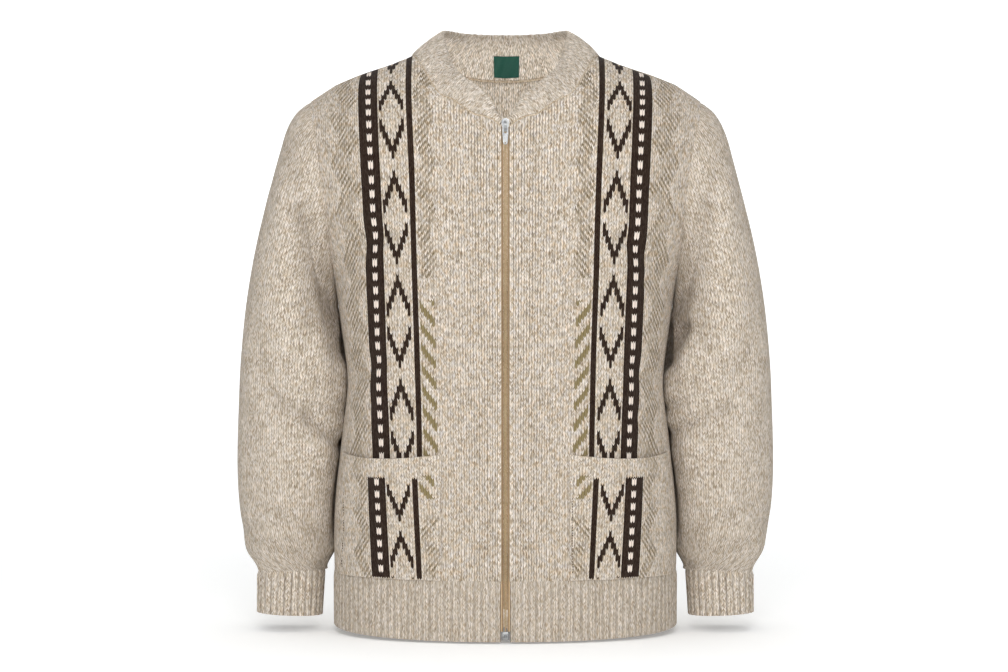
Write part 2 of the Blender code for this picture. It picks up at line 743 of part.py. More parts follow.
def main():
    clear_scene()
    place = new_collection("aztec_full_zip_sweater")
    cutters = new_collection("cutters")
    knit = new_material("marled_knit", (0.56, 0.46, 0.33), 0.95)
    rib = new_material("ribbed_knit", (0.53, 0.43, 0.31), 0.95)
    tape = new_material("woven_zip_tape", (0.50, 0.31, 0.14), 0.80)
    nylon = new_material("nylon_coil", (0.46, 0.29, 0.13), 0.45)
    nickel = new_material("nickel_plate", (0.68, 0.68, 0.66), 0.25, 1.0)
    satin = new_material("label_satin", (0.014, 0.080, 0.052), 0.60)

    for name, hand in (("left", 1), ("right", -1)):
        make_front("front_" + name, hand, place, knit)
        make_sleeve("sleeve_" + name, hand, place, knit)
        make_cuff("cuff_" + name, hand, place, rib)
        make_pocket("pocket_" + name, hand, place, knit)
        make_zip_tape("zip_tape_" + name, hand, place, tape)
    make_back(place, knit)
    make_hem(place, rib)
    make_collar(place, rib)
    make_label(place, satin)
    make_zip_chain(place, nylon)
    make_zip_box(place, nickel)
    make_slider(place, cutters, nickel)
    make_pull(place, nickel)


main()
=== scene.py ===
# %% [markdown]
# # A knitted full-zip sweater
#
# This lesson dresses a packed sweater model: the fixed frame says how large every piece is and where it
# lies, and each cell below replaces one plain piece with real-looking cloth, yarn or metal.
# Everything is in metres, the front faces -Y, and the wearer's left sleeve is at +X.

import json
import math

import bpy
import numpy as np
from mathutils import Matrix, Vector

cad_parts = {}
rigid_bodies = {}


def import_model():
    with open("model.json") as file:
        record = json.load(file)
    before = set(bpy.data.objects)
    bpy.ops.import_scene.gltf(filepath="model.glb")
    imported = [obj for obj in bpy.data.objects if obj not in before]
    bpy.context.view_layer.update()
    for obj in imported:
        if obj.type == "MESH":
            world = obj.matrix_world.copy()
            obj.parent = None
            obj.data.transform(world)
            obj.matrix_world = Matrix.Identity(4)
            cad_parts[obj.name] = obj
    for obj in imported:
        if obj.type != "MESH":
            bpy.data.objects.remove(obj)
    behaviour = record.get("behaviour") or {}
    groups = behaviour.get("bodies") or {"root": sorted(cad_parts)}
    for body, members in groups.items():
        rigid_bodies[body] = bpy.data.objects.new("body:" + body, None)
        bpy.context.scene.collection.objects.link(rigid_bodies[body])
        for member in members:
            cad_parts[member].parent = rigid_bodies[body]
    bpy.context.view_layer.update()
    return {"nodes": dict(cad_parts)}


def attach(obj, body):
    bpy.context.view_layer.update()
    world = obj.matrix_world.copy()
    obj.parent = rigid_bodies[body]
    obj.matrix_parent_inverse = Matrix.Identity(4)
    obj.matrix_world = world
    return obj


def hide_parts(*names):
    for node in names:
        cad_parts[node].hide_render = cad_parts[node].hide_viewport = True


for item in list(bpy.data.objects):
    bpy.data.objects.remove(item, do_unlink=True)
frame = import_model()

# %% [markdown]
# ## The body's draft
#
# A sweater is drafted from a handful of sizes: half widths and depths at a few heights, where the armhole
# runs, and how the shoulder falls. The tables repeat the draft that the solids were made from, so each
# finer surface lies exactly where its plain solid is. The tables of the other pieces come with them.

# %% Draft of the body
KNIT_WALL = 0.0024
RIB_WALL = 0.0030
SEAM_GAP = 0.0003
ROUNDNESS = 2.3
SHOULDER_FALL = 0.130
UNDERARM = -0.270
HEM_SEAM = -0.611
FRONT_EDGE = 0.0054
NECK_POINT = 0.110
FRONT = -1
BACK = 1
HANDS = (("left", 1), ("right", -1))

BODY_SECTIONS = (
    # height, half_width, front_depth, back_depth
    (-0.690, 0.2015, 0.1330, 0.1230),
    (-0.611, 0.2020, 0.1355, 0.1245),
    (-0.545, 0.2020, 0.1360, 0.1240),
    (-0.450, 0.1930, 0.1310, 0.1190),
    (-0.385, 0.1865, 0.1280, 0.1170),
    (-0.320, 0.1940, 0.1290, 0.1200),
    (-0.270, 0.2015, 0.1290, 0.1240),
    (-0.200, 0.2215, 0.1250, 0.1270),
    (-0.130, 0.2430, 0.1195, 0.1260),
    (-0.060, 0.2620, 0.1180, 0.1220),
    (0.040, 0.2800, 0.1180, 0.1150),
)
ARMHOLE = (
    # height, half_width
    (-0.270, 0.2015),
    (-0.240, 0.2050),
    (-0.168, 0.2120),
    (-0.120, 0.2185),
    (-0.052, 0.2320),
    (0.040, 0.2320),
)
SHOULDER_RIDGE = (
    # across, height
    (0.000, 0.0415),
    (0.110, 0.0030),
    (0.137, -0.0080),
    (0.172, -0.0200),
    (0.202, -0.0320),
    (0.232, -0.0520),
)
print("draft: body", 2 * BODY_SECTIONS[1][1], "m wide at the hem seam,", -HEM_SEAM, "m down")

# %% [markdown]
# ## Curves through a table
#
# A maker draws a smooth line through a few marked points. A cubic Hermite piece does the same between two
# rows of a table: it meets both values, and its slopes come from the neighbouring rows, so nothing kinks.

# %% Curves
def hermite(f, first, last, first_slope, last_slope):
    """Cubic at share f: (1 + 2f)(1 - f)^2 first + f(1 - f)^2 first slope + f^2(3 - 2f) last
    - f^2(1 - f) last slope."""
    start = (1 + 2 * f) * (1 - f) ** 2 * first + f * (1 - f) ** 2 * first_slope
    end = f * f * (3 - 2 * f) * last - f * f * (1 - f) * last_slope
    return start + end


def through(rows, column, at):
    """Smooth curve through a table: cubic pieces, each row's slope set by its two neighbours."""
    table = np.array(rows, dtype=float)
    key, value = table[:, 0], table[:, column]
    slope = np.gradient(value, key)
    at = np.clip(np.asarray(at, dtype=float), key[0], key[-1])
    low = np.clip(np.searchsorted(key, at, side="right") - 1, 0, len(key) - 2)
    high = low + 1
    span = key[high] - key[low]
    return hermite((at - key[low]) / span, value[low], value[high], span * slope[low], span * slope[high])


def straight(rows, column, at):
    """Straight lines between a table's rows."""
    table = np.array(rows, dtype=float)
    return np.interp(at, table[:, 0], table[:, column])


def half_width(height):
    """Half the body's width at a height."""
    return through(BODY_SECTIONS, 1, height)


print("half width at the chest:", round(float(half_width(-0.230)), 4), "m")

# %% [markdown]
# ## The body as one formula
#
# Cut straight across, a filled sweater is a rounded box, which a superellipse draws from a half width, a
# depth and one power. Towards the shoulders the depth falls to nothing along a quarter circle, so that
# front and back meet on the ridge. A point is then given by an angle round the body and a height.

# %% Body sections
def turn(across, height):
    """Angle round the section: asin((x / half width) ** (roundness / 2)), a quarter turn at the side."""
    return np.arcsin(np.clip(across / half_width(height), 0, 1) ** (ROUNDNESS / 2))


def body_point(angle, height, side):
    """Superellipse x = w sin(a)^(2/n), y = d cos(a)^(2/n), whose depth falls to 0 over the shoulder
    along a quarter circle; side is -1 on the front and +1 on the back."""
    across = half_width(height) * np.sin(angle) ** (2 / ROUNDNESS)
    below = (straight(SHOULDER_RIDGE, 1, across) - height) / SHOULDER_FALL
    rounding = np.sqrt(1 - (1 - np.clip(below, 0, 1)) ** 2)
    depth = through(BODY_SECTIONS, 2 if side < 0 else 3, height) * rounding
    depth = depth * np.cos(angle) ** (2 / ROUNDNESS)
    return np.stack([across, side * (depth + SEAM_GAP / 2), height + 0 * across], axis=-1)


def edge_angle(height):
    """Angle of the side seam, and above the underarm that of the armhole's edge."""
    armhole = turn(through(ARMHOLE, 1, height), height)
    return np.where(height <= UNDERARM, math.pi / 2, armhole)


def body_axis(points):
    """The point of the body's upright axis level with each point."""
    return points * np.array([0.0, 0.0, 1.0])


waist = body_point(np.array([0.0, math.pi / 2]), np.array([-0.385, -0.385]), FRONT)
print("waist section: front at y", round(waist[0, 1], 4), "side at x", round(waist[1, 0], 4))

# %% [markdown]
# ## From a grid of points to a mesh
#
# Every piece is a grid of points, row by row, and its faces follow from the grid alone. The grid also
# carries a UV map counted in stitches: u counts wales, the upright ribs of V shapes, and v counts
# courses, the rows. A knit pattern then follows the cloth round every bend, as real stitches do.

# %% Grids
WALE = 0.0030
COURSE = 0.00201
MIRROR = np.array([-1.0, 1.0, 1.0])


def grid(x, y, z):
    """Points from three arrays that spread out to one grid."""
    return np.stack(np.broadcast_arrays(x, y, z), axis=-1).copy()


def closed(ring):
    """A ring's grid with its first column repeated at the end."""
    return np.concatenate([ring, ring[:, :1]], axis=1)


def both_sides(half):
    """A half whose first column lies at x = 0, joined to its mirror image."""
    half[:, 0, 0] = 0.0
    return np.concatenate([half[:, :0:-1] * MIRROR, half], axis=1)


def lengths(points, axis):
    """Length along the grid lines up to each point."""
    steps = np.linalg.norm(np.diff(points, axis=axis), axis=-1)
    start = np.zeros_like(np.take(steps, [0], axis=axis))
    return np.cumsum(np.concatenate([start, steps], axis=axis), axis=axis)


def grid_normals(points, inside):
    """Unit normals of a grid, as the cross product of its two directions, turned away from inside."""
    normals = np.cross(np.gradient(points, axis=0), np.gradient(points, axis=1))
    normals /= np.maximum(np.linalg.norm(normals, axis=-1, keepdims=True), 1e-12)
    return -normals if np.sum(normals * (points - inside)) < 0 else normals


def quads(rows, columns, ring=False):
    """Corner indices of a grid's faces; a ring's last column meets its first."""
    index = np.arange(rows * columns).reshape(rows, columns)
    index = closed(index) if ring else index
    corners = [index[:-1, :-1], index[:-1, 1:], index[1:, 1:], index[1:, :-1]]
    return np.stack(corners, axis=-1).reshape(-1, 4)


def new_piece(name, vertices, faces, material, uv=None):
    """A mesh object at the origin; uv holds one (u, v) pair for each face corner."""
    mesh = bpy.data.meshes.new(name)
    faces = faces if isinstance(faces, list) else faces.tolist()
    mesh.from_pydata(vertices.reshape(-1, 3).tolist(), [], faces)
    if uv is not None:
        layer = mesh.uv_layers.new(name="stitches")
        layer.data.foreach_set("uv", np.asarray(uv, dtype=np.float32).ravel())
    mesh.shade_smooth()
    mesh.materials.append(material)
    piece = bpy.data.objects.new(name, mesh)
    bpy.context.scene.collection.objects.link(piece)
    return piece


print("stitches:", round(1000 * WALE, 2), "mm wide,", round(1000 * COURSE, 2), "mm high")

# %% [markdown]
# ## Cloth has a wall and two faces
#
# Cloth is thin, so each piece is one open surface, given its wall by Solidify. A thin box could be built
# by hand instead, but then every fold would have to be drawn twice. A support line close to each edge
# keeps it crisp under smooth shading. A point attribute, from 0 to 1, says how much shade the knit paints
# at each point: deep in folds and where little light reaches. Below 0 it paints light.

# %% Cloth
EDGE_SHARE = 0.1


def edge_held(values, axis):
    """Adds a line a tenth of a cell in from both ends."""
    first, second, before, last = (np.take(values, [i], axis=axis) for i in (0, 1, -2, -1))
    middle = np.take(values, range(1, values.shape[axis] - 1), axis=axis)
    early = (1 - EDGE_SHARE) * first + EDGE_SHARE * second
    late = (1 - EDGE_SHARE) * last + EDGE_SHARE * before
    return np.concatenate([first, early, middle, late, last], axis=axis)


def looks_out(points, faces, inside):
    """True if the faces look away from inside: the sum of each normal times its way out is above 0."""
    flat, core = points.reshape(-1, 3), np.broadcast_to(inside, points.shape).reshape(-1, 3)
    normals = np.cross(flat[faces[:, 2]] - flat[faces[:, 0]], flat[faces[:, 3]] - flat[faces[:, 1]])
    return np.sum(normals * (flat[faces].mean(axis=1) - core[faces].mean(axis=1))) > 0


def mark_hollow(piece, hollow):
    """Writes how much shade the knit paints at each point, deep in a fold or out of the light, for the knit
    to read.
    """
    depths = piece.data.attributes.new("hollow", "FLOAT", "POINT")
    depths.data.foreach_set("value", hollow.astype(np.float32).ravel())


def cloth(name, points, inside, stitches, wall, material, offset=1.0, ring=False, hollow=None,
          reverse=None):
    """A panel or a tube whose faces look away from inside; stitches holds (u, v) for each point, with
    one more column on a ring, so that the pattern meets itself at the seam."""
    hollow = np.zeros(points.shape[:2]) if hollow is None else hollow
    grids = [points, np.broadcast_to(inside, points.shape), stitches, hollow]
    for axis in ((0,) if ring else (0, 1)):
        grids = [edge_held(values, axis) for values in grids]
    points, inside, stitches, hollow = grids
    faces = quads(*points.shape[:2], ring)
    corners = quads(*stitches.shape[:2])
    if not looks_out(points, faces, inside):
        faces, corners = faces[:, ::-1], corners[:, ::-1]
    piece = new_piece(name, points, faces, material, stitches.reshape(-1, 2)[corners])
    mark_hollow(piece, hollow)
    solidify = piece.modifiers.new("wall", "SOLIDIFY")
    solidify.thickness = wall
    solidify.offset = offset
    if reverse:
        piece.data.materials.append(reverse)
        solidify.material_offset = 1
    return piece


print("walls:", 1000 * KNIT_WALL, "mm of knit,", 1000 * RIB_WALL, "mm of rib")

# %% [markdown]
# ## Saying what each piece is
#
# Each piece says which body it moves with and which solid it stands for. One function does all of it, so
# no piece is left out.


def declare(piece, node):
    """Every piece of cloth rides on the garment and stands for its solid, which is hidden."""
    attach(piece, "garment")
    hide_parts(node)


def raised(points, relief, inside):
    """Each point moved out along its normal by its relief."""
    return points + grid_normals(points, inside) * relief[..., None]


def knitted(name, node, slot, points, relief, stitches, wall, material, ring=False, **more):
    """One hung piece: its draft raised by its relief, given a wall and declared. Inside is the body's
    axis, or on a ring its own middle."""
    inside = np.broadcast_to(points.mean(axis=1, keepdims=True), points.shape) if ring else body_axis(points)
    outside = raised(points, relief, inside)
    piece = cloth(name, outside, inside, stitches, wall, material, ring=ring, **more)
    declare(piece, node)


print("the garment's solids:", len(frame["nodes"]))

# %% [markdown]
# ## Folds laid one by one
#
# Heavy knit hangs in broad, soft folds. They could be sculpted, or left to a cloth simulation, but a table
# keeps each fold where it is wanted. Each row is a line from one point to another on the front view of a
# piece, and the cloth sinks by a bell curve of the distance from that line. A negative depth raises a
# ridge. No two rows are alike, because evenly spaced folds look machined.

# %% Folds of the body
BODY_FOLDS = (
    # start_x, start_z, end_x, end_z, width, depth
    (0.205, -0.268, 0.140, -0.225, 0.014, 0.0040),
    (0.203, -0.290, 0.165, -0.268, 0.010, 0.0022),
    (0.172, -0.575, 0.166, -0.470, 0.014, 0.0030),
    (0.045, -0.590, 0.052, -0.430, 0.018, 0.0018),
    (0.068, -0.250, 0.075, -0.130, 0.020, -0.0014),
    (0.120, -0.545, 0.090, -0.480, 0.020, -0.0012),
    (0.185, -0.400, 0.150, -0.370, 0.012, 0.0022),
    (0.186, -0.440, 0.155, -0.425, 0.009, 0.0016),
    (0.020, -0.200, 0.024, -0.120, 0.012, 0.0010),
    (-0.205, -0.262, -0.148, -0.214, 0.015, 0.0044),
    (-0.203, -0.286, -0.172, -0.262, 0.010, 0.0020),
    (-0.176, -0.585, -0.160, -0.500, 0.016, 0.0026),
    (-0.036, -0.600, -0.046, -0.470, 0.016, 0.0020),
    (-0.080, -0.300, -0.070, -0.180, 0.022, -0.0015),
    (-0.185, -0.385, -0.146, -0.360, 0.013, 0.0026),
    (-0.187, -0.425, -0.160, -0.412, 0.009, 0.0014),
    (-0.022, -0.260, -0.028, -0.170, 0.014, 0.0011),
)
BACK_FOLDS = (
    # start_x, start_z, end_x, end_z, width, depth
    (0.208, -0.255, 0.120, -0.190, 0.016, 0.0050),
    (0.203, -0.300, 0.130, -0.262, 0.013, 0.0034),
    (0.190, -0.395, 0.100, -0.372, 0.014, 0.0040),
    (0.188, -0.440, 0.080, -0.430, 0.012, 0.0030),
    (0.055, -0.590, 0.062, -0.440, 0.020, 0.0030),
    (-0.208, -0.250, -0.130, -0.180, 0.016, 0.0054),
    (-0.203, -0.292, -0.140, -0.246, 0.012, 0.0030),
    (-0.190, -0.380, -0.090, -0.355, 0.015, 0.0044),
    (-0.188, -0.428, -0.110, -0.415, 0.011, 0.0026),
    (-0.070, -0.600, -0.060, -0.470, 0.018, 0.0026),
    (0.000, -0.380, 0.006, -0.240, 0.028, 0.0036),
    (0.012, -0.560, -0.004, -0.450, 0.022, -0.0020),
)

BLOUSE = 0.0022
BLOUSE_AT = HEM_SEAM + 0.022
BLOUSE_REACH = 0.018
WAVE_HEIGHT = 0.0006


def fold_depth(x, z, table):
    """Sum over the rows of depth * exp(-(distance to the row's line / width)^2)."""
    total = np.zeros_like(x)
    for start_x, start_z, end_x, end_z, width, depth in table:
        dx, dz = end_x - start_x, end_z - start_z
        share = np.clip(((x - start_x) * dx + (z - start_z) * dz) / (dx * dx + dz * dz), 0, 1)
        away = np.hypot(x - start_x - share * dx, z - start_z - share * dz)
        total += depth * np.exp(-((away / width) ** 2))
    return total


def unevenness(x, z):
    """Slow, shallow waves that no flat panel of knit is free of: three sines that don't repeat together."""
    waves = np.sin(31 * x + 17 * z + 0.6) + 0.7 * np.sin(-23 * x + 41 * z + 2.1)
    return WAVE_HEIGHT * (waves + 0.5 * np.sin(67 * x - 29 * z))


def body_relief(x, z, side):
    """How far the cloth stands out from the draft: folds, unevenness, and the blouse above the hem. All
    fade out towards the hem, the shoulders and the side seams, so that the panels still meet."""
    folds = fold_depth(x, z, BODY_FOLDS if side == FRONT else BACK_FOLDS)
    waves = unevenness(x + (0.0 if side == FRONT else 0.3), z)
    blouse = BLOUSE * np.exp(-(((z - BLOUSE_AT) / BLOUSE_REACH) ** 2)) * (1 + 0.4 * np.sin(38 * x + 1.0))
    settle = np.clip((z - HEM_SEAM) / 0.012, 0, 1) * np.clip((0.01 - z) / 0.05, 0, 1)
    settle = settle * np.clip((half_width(z) - np.abs(x)) / 0.012, 0, 1)
    return (waves - folds + blouse) * settle


print("folds:", len(BODY_FOLDS), "on the fronts,", len(BACK_FOLDS), "on the back")

# %% [markdown]
# ## Marled yarn
#
# The yarn is a marl: an acrylic and wool mix spun from a cream strand and a fawn one, so each stitch
# turns up paler or darker by chance and the two shades drift along the rows. The columns add a dark brown
# yarn, a khaki one and a near white one. Colours are written as sRGB hex values, as on a colour card.

# %% Colours
YARN_CREAM = "#F4EBE2"
YARN_MID = "#CDC1B0"
YARN_FAWN = "#968671"
YARN_BROWN = "#23120B"
YARN_KHAKI = "#83744C"
YARN_HATCH = "#6E5E40"
YARN_PALE = "#EDE0D4"
YARN_COOL = "#DCE2F0"
YARN_WARM = "#F3DDBC"
# not a yarn: the warm brown that the painted shade of the knit is tinted towards
PAINTED_SHADE_BROWN = "#4A3420"


def linear(code):
    """sRGB hex to linear: the curve ((c + 0.055) / 1.055) ** 2.4 above 0.04045."""
    channels = np.array([int(code[i:i + 2], 16) for i in (1, 3, 5)]) / 255
    curve = np.where(channels > 0.04045, ((channels + 0.055) / 1.055) ** 2.4, channels / 12.92)
    return (*curve.tolist(), 1.0)


print("yarn, linear:", [round(channel, 3) for channel in linear(YARN_MID)[:3]])

# %% [markdown]
# ## One helper for nodes
#
# A pattern in Blender is a chain of small nodes, and clicking a hundred of them together is slow and hard
# to read. One function adds any kind of node, sets it and links its inputs, so a chain reads line by line
# like a sum. A second one starts a material and puts the values that are the same all over on its shader,
# and a third links the chains' ends to it.

# %% Nodes and materials
def add(tree, kind, inputs=(), output=0, stops=(), **settings):
    """Adds one node and gives back one of its outputs; an input is a value or another node's output."""
    made = tree.nodes.new("ShaderNode" + kind)
    for key, value in settings.items():
        setattr(made, key, value)
    for key, value in (inputs.items() if isinstance(inputs, dict) else enumerate(inputs)):
        if isinstance(value, bpy.types.NodeSocket):
            tree.links.new(value, made.inputs[key])
        else:
            made.inputs[key].default_value = value
    for index, (place, code) in enumerate(stops):
        ramp = made.color_ramp.elements
        stop = ramp[index] if index < 2 else ramp.new(place)
        stop.position, stop.color = place, linear(code)
    return made.outputs[output]


def new_material(name, **uniform):
    """A material with a Principled shader; the uniform values sit on the shader's own sockets."""
    material = bpy.data.materials.new(name)
    material.use_nodes = True
    shader = material.node_tree.nodes["Principled BSDF"]
    for socket, value in uniform.items():
        shader.inputs[socket.replace("_", " ")].default_value = value
    return material, material.node_tree


def finished(material, **sockets):
    """The material, with outputs linked to the sockets of its shader."""
    shader = material.node_tree.nodes["Principled BSDF"]
    for socket, output in sockets.items():
        material.node_tree.links.new(output, shader.inputs[socket.replace("_", " ")])
    return material


print("node helpers:", [helper.__name__ for helper in (add, new_material, finished)])

# %% [markdown]
# ## A stitch in numbers
#
# In stocking stitch each stitch is a V of two slanting legs. u counts wales and v counts rows, so the
# rest of u past a whole number says where in the V a point is. Bending v down towards the middle of the
# wale gives the slant, its whole number is the row, and the whole number of 2u is the leg. Each sum below
# is one Math node: its result, what it does, and what it works on.

# %% Stitch steps
LEG_RISE = 1.5

STITCH_STEPS = (
    # result, operation, inputs
    ("doubled", "MULTIPLY", "u", 2.0),
    ("across", "FLOORED_MODULO", "u", 1.0),
    ("outward", "SUBTRACT", "across", 0.5),
    ("outward", "ABSOLUTE", "outward"),
    ("bent", "MULTIPLY_ADD", "outward", -2 * LEG_RISE, "v"),
    ("leg", "FLOOR", "doubled"),
    ("wale", "FLOOR", "u"),
    ("row", "FLOOR", "bent"),
    ("round_x", "MULTIPLY", "doubled", math.pi),
    ("round_x", "SINE", "round_x"),
    ("round_x", "ABSOLUTE", "round_x"),
    ("round_y", "MULTIPLY", "bent", math.pi),
    ("round_y", "SINE", "round_y"),
    ("round_y", "ABSOLUTE", "round_y"),
    ("round_x", "POWER", "round_x", 0.6),
    ("height", "MULTIPLY_ADD", "round_y", 0.35, 0.65),
    ("height", "MULTIPLY", "height", "round_x"),
    ("gap", "SUBTRACT", "outward", 0.34),
    ("gap", "MULTIPLY", "gap", 6.0),
    ("gap", "MAXIMUM", "gap", 0.0),
    ("valley", "MULTIPLY", "u", math.pi / 2),
    ("valley", "SINE", "valley"),
    ("ply", "MULTIPLY_ADD", "bent", 2.0, "doubled"),
    ("ply", "MULTIPLY", "ply", math.pi),
    ("ply", "SINE", "ply"),
    ("own_leg", "MULTIPLY", "leg", 7.31),
    ("slow_row", "MULTIPLY", "bent", 0.45),
)
print("a stitch:", len(STITCH_STEPS), "sums")

# %% [markdown]
# ## The charted columns
#
# The dark columns are jacquard, charted on squared paper: a plain stripe two wales wide, split diamonds
# nine wales wide on a repeat of sixty rows, and a seven-wale band with pairs of pale stitches. Beside
# them runs a zigzag of short slanting strokes in khaki, with wide khaki dashes below. It is a traditional
# kind of pattern, so the chart is a few rules on the numbers of the wale and the row.

# %% Chart of the columns
# the middle of each column, in wales from the front edge
STRIPE = 31.0
DIAMOND = 37.0
BAND = 46.0
# counted in rows
REPEAT = 60.0
DIAMOND_ROWS = 53.0
ROWS_A_WALE = 4.0
PALE_EVERY = 8.0
STROKE_EVERY = 4.0
DASH_EVERY = 12.0
ZIGZAG_ROWS = 14.0

CHART_STEPS = (
    # result, operation, inputs   (COMPARE gives 1 where the first two differ by less than the third)
    ("charted", "COMPARE", "row", "rows_middle", "rows_reach"),
    ("stripe", "COMPARE", "u", STRIPE, 1.0),
    ("band", "COMPARE", "u", BAND + 0.4, 3.9),
    ("count", "ADD", "row", "square_shift"),
    ("count", "FLOORED_MODULO", "count", PALE_EVERY),
    ("pale", "COMPARE", "count", 1.5, 1.6),
    ("pale_width", "COMPARE", "u", BAND, 1.0),
    ("pale", "MULTIPLY", "pale", "pale_width"),
    ("pale", "MULTIPLY", "pale", "charted"),
    ("away", "SUBTRACT", "wale", DIAMOND),
    ("away", "ABSOLUTE", "away"),
    ("drop", "MULTIPLY", "away", ROWS_A_WALE),
    ("below_apex", "SUBTRACT", "apex_row", "row"),
    ("below_apex", "FLOORED_MODULO", "below_apex", REPEAT),
    ("upper", "SUBTRACT", "below_apex", "drop"),
    ("upper", "COMPARE", "upper", 3.5, 3.8),
    ("lower", "SUBTRACT", DIAMOND_ROWS, "below_apex"),
    ("lower", "SUBTRACT", "lower", "drop"),
    ("lower", "COMPARE", "lower", 3.5, 3.8),
    ("diamond", "MAXIMUM", "upper", "lower"),
    ("diamond_width", "COMPARE", "away", 0.0, 4.4),
    ("diamond", "MULTIPLY", "diamond", "diamond_width"),
    ("brown", "MAXIMUM", "stripe", "band"),
    ("brown", "MAXIMUM", "brown", "diamond"),
    ("brown", "MULTIPLY", "brown", "charted"),
    ("check", "ADD", "row", "leg"),
    ("check", "FLOORED_MODULO", "check", STROKE_EVERY),
    ("check", "COMPARE", "check", 0.5, 0.6),
    ("dash", "MULTIPLY_ADD", "wale", -2.0, "row"),
    ("dash", "FLOORED_MODULO", "dash", DASH_EVERY),
    ("zigzag", "PINGPONG", "row", ZIGZAG_ROWS),
    ("shifted", "MULTIPLY_ADD", "zigzag", -0.36, "u"),
    ("outer", "COMPARE", "shifted", "lattice_middle", "lattice_reach"),
    ("shifted", "MULTIPLY_ADD", "zigzag", 0.20, "u"),
    ("inner", "COMPARE", "shifted", STRIPE - 3.4, 2.4),
    ("inner_rows", "COMPARE", "row", "inner_middle", "inner_reach"),
    ("inner", "MULTIPLY", "inner", "inner_rows"),
    ("lattice", "MAXIMUM", "inner", "outer"),
    ("lattice", "MULTIPLY", "lattice", "check"),
    ("dash", "COMPARE", "dash", 2.0, 2.3),
    ("dash_width", "COMPARE", "u", STRIPE - 4.3, 2.7),
    ("dash", "MULTIPLY", "dash", "dash_width"),
    ("dash_rows", "COMPARE", "row", "dash_middle", "dash_reach"),
    ("dash", "MULTIPLY", "dash", "dash_rows"),
)
FRONT_RULES = {"rows_middle": 195.0, "rows_reach": 400.0, "square_shift": 5.0, "apex_row": 53.0,
               "lattice_middle": 54.6, "lattice_reach": 4.4, "inner_middle": 236.0, "inner_reach": 64.0,
               "dash_middle": 112.0, "dash_reach": 46.0}
POCKET_RULES = {"rows_middle": 32.0, "rows_reach": 32.4, "square_shift": 4.0, "apex_row": 30.0,
                "lattice_middle": 51.8, "lattice_reach": 2.6, "inner_middle": 21.0, "inner_reach": 19.0,
                "dash_middle": 59.0, "dash_reach": 7.0}
print("chart:", len(CHART_STEPS), "sums, a repeat of", REPEAT * COURSE * 1000, "mm")

# %% [markdown]
# ## From numbers to yarn
#
# Three kinds of chance mix the two strands: one for each leg, one for slow strokes along a wale, and one
# for broad patches, as when the yarn comes from several cones. A faint cool or warm tint drifts over them.
# The charted yarns are then laid over the marl. The hatch is one thin strand among others, so chance
# and the patches fade it in places.

# %% Yarn
LEG_CHANCE = 0.62
STROKES = 0.85
PATCHES = 0.30
PLY = 0.07
MULTIPLY = {"data_type": "RGBA", "blend_type": "MULTIPLY"}


def stitch_values(tree, rules):
    """The stitch map, and every result of the steps by its name."""
    stitches = add(tree, "UVMap", uv_map="stitches")
    values = dict(rules or {})
    values["u"] = add(tree, "SeparateXYZ", [stitches], output=0)
    values["v"] = add(tree, "SeparateXYZ", [stitches], output=1)
    for result, operation, *terms in STITCH_STEPS + (CHART_STEPS if rules else ()):
        inputs = [values[term] if isinstance(term, str) else term for term in terms]
        values[result] = add(tree, "Math", inputs, operation=operation)
    return stitches, values


def marled_yarn(tree, stitches, values, contrast, tint):
    """Cream to fawn by the sum of weight times (chance - 1/2), multiplied by a tint. The chance of each
    leg and the broad patches are given back too."""
    cell = add(tree, "CombineXYZ", [values["leg"], values["row"], 0.0])
    chance = add(tree, "TexWhiteNoise", {"Vector": cell}, noise_dimensions="3D")
    along = add(tree, "CombineXYZ", [values["own_leg"], values["slow_row"], 0.0])
    strokes = add(tree, "TexNoise", {"Vector": along, "Scale": 1.0, "Detail": 1.0, "Roughness": 0.5})
    broad = add(tree, "VectorMath", [stitches, (0.16, 0.09, 1.0)], operation="MULTIPLY")
    patches = add(tree, "TexNoise", {"Vector": broad, "Scale": 1.0, "Detail": 3.0, "Roughness": 0.55})
    weights = ((chance, LEG_CHANCE * contrast), (strokes, STROKES * contrast), (patches, PATCHES),
               (values["ply"], PLY))
    shade = 0.5 - sum(weight for source, weight in weights[:3]) / 2
    for source, weight in weights:
        shade = add(tree, "Math", [source, weight, shade], operation="MULTIPLY_ADD")
    marl = add(tree, "ValToRGB", [shade], stops=((0.10, YARN_FAWN), (0.90, YARN_CREAM), (0.5, YARN_MID)))
    slow = add(tree, "VectorMath", [stitches, (0.55, 0.28, 1.0)], operation="MULTIPLY")
    slow = add(tree, "TexNoise", {"Vector": slow, "Scale": 1.0, "Detail": 2.0})
    dye_lot = add(tree, "ValToRGB", [slow], stops=((0.30, YARN_COOL), (0.72, YARN_WARM), (0.5, "#FFFFFF")))
    return add(tree, "Mix", {0: tint, 6: marl, 7: dye_lot}, 2, **MULTIPLY), chance, patches


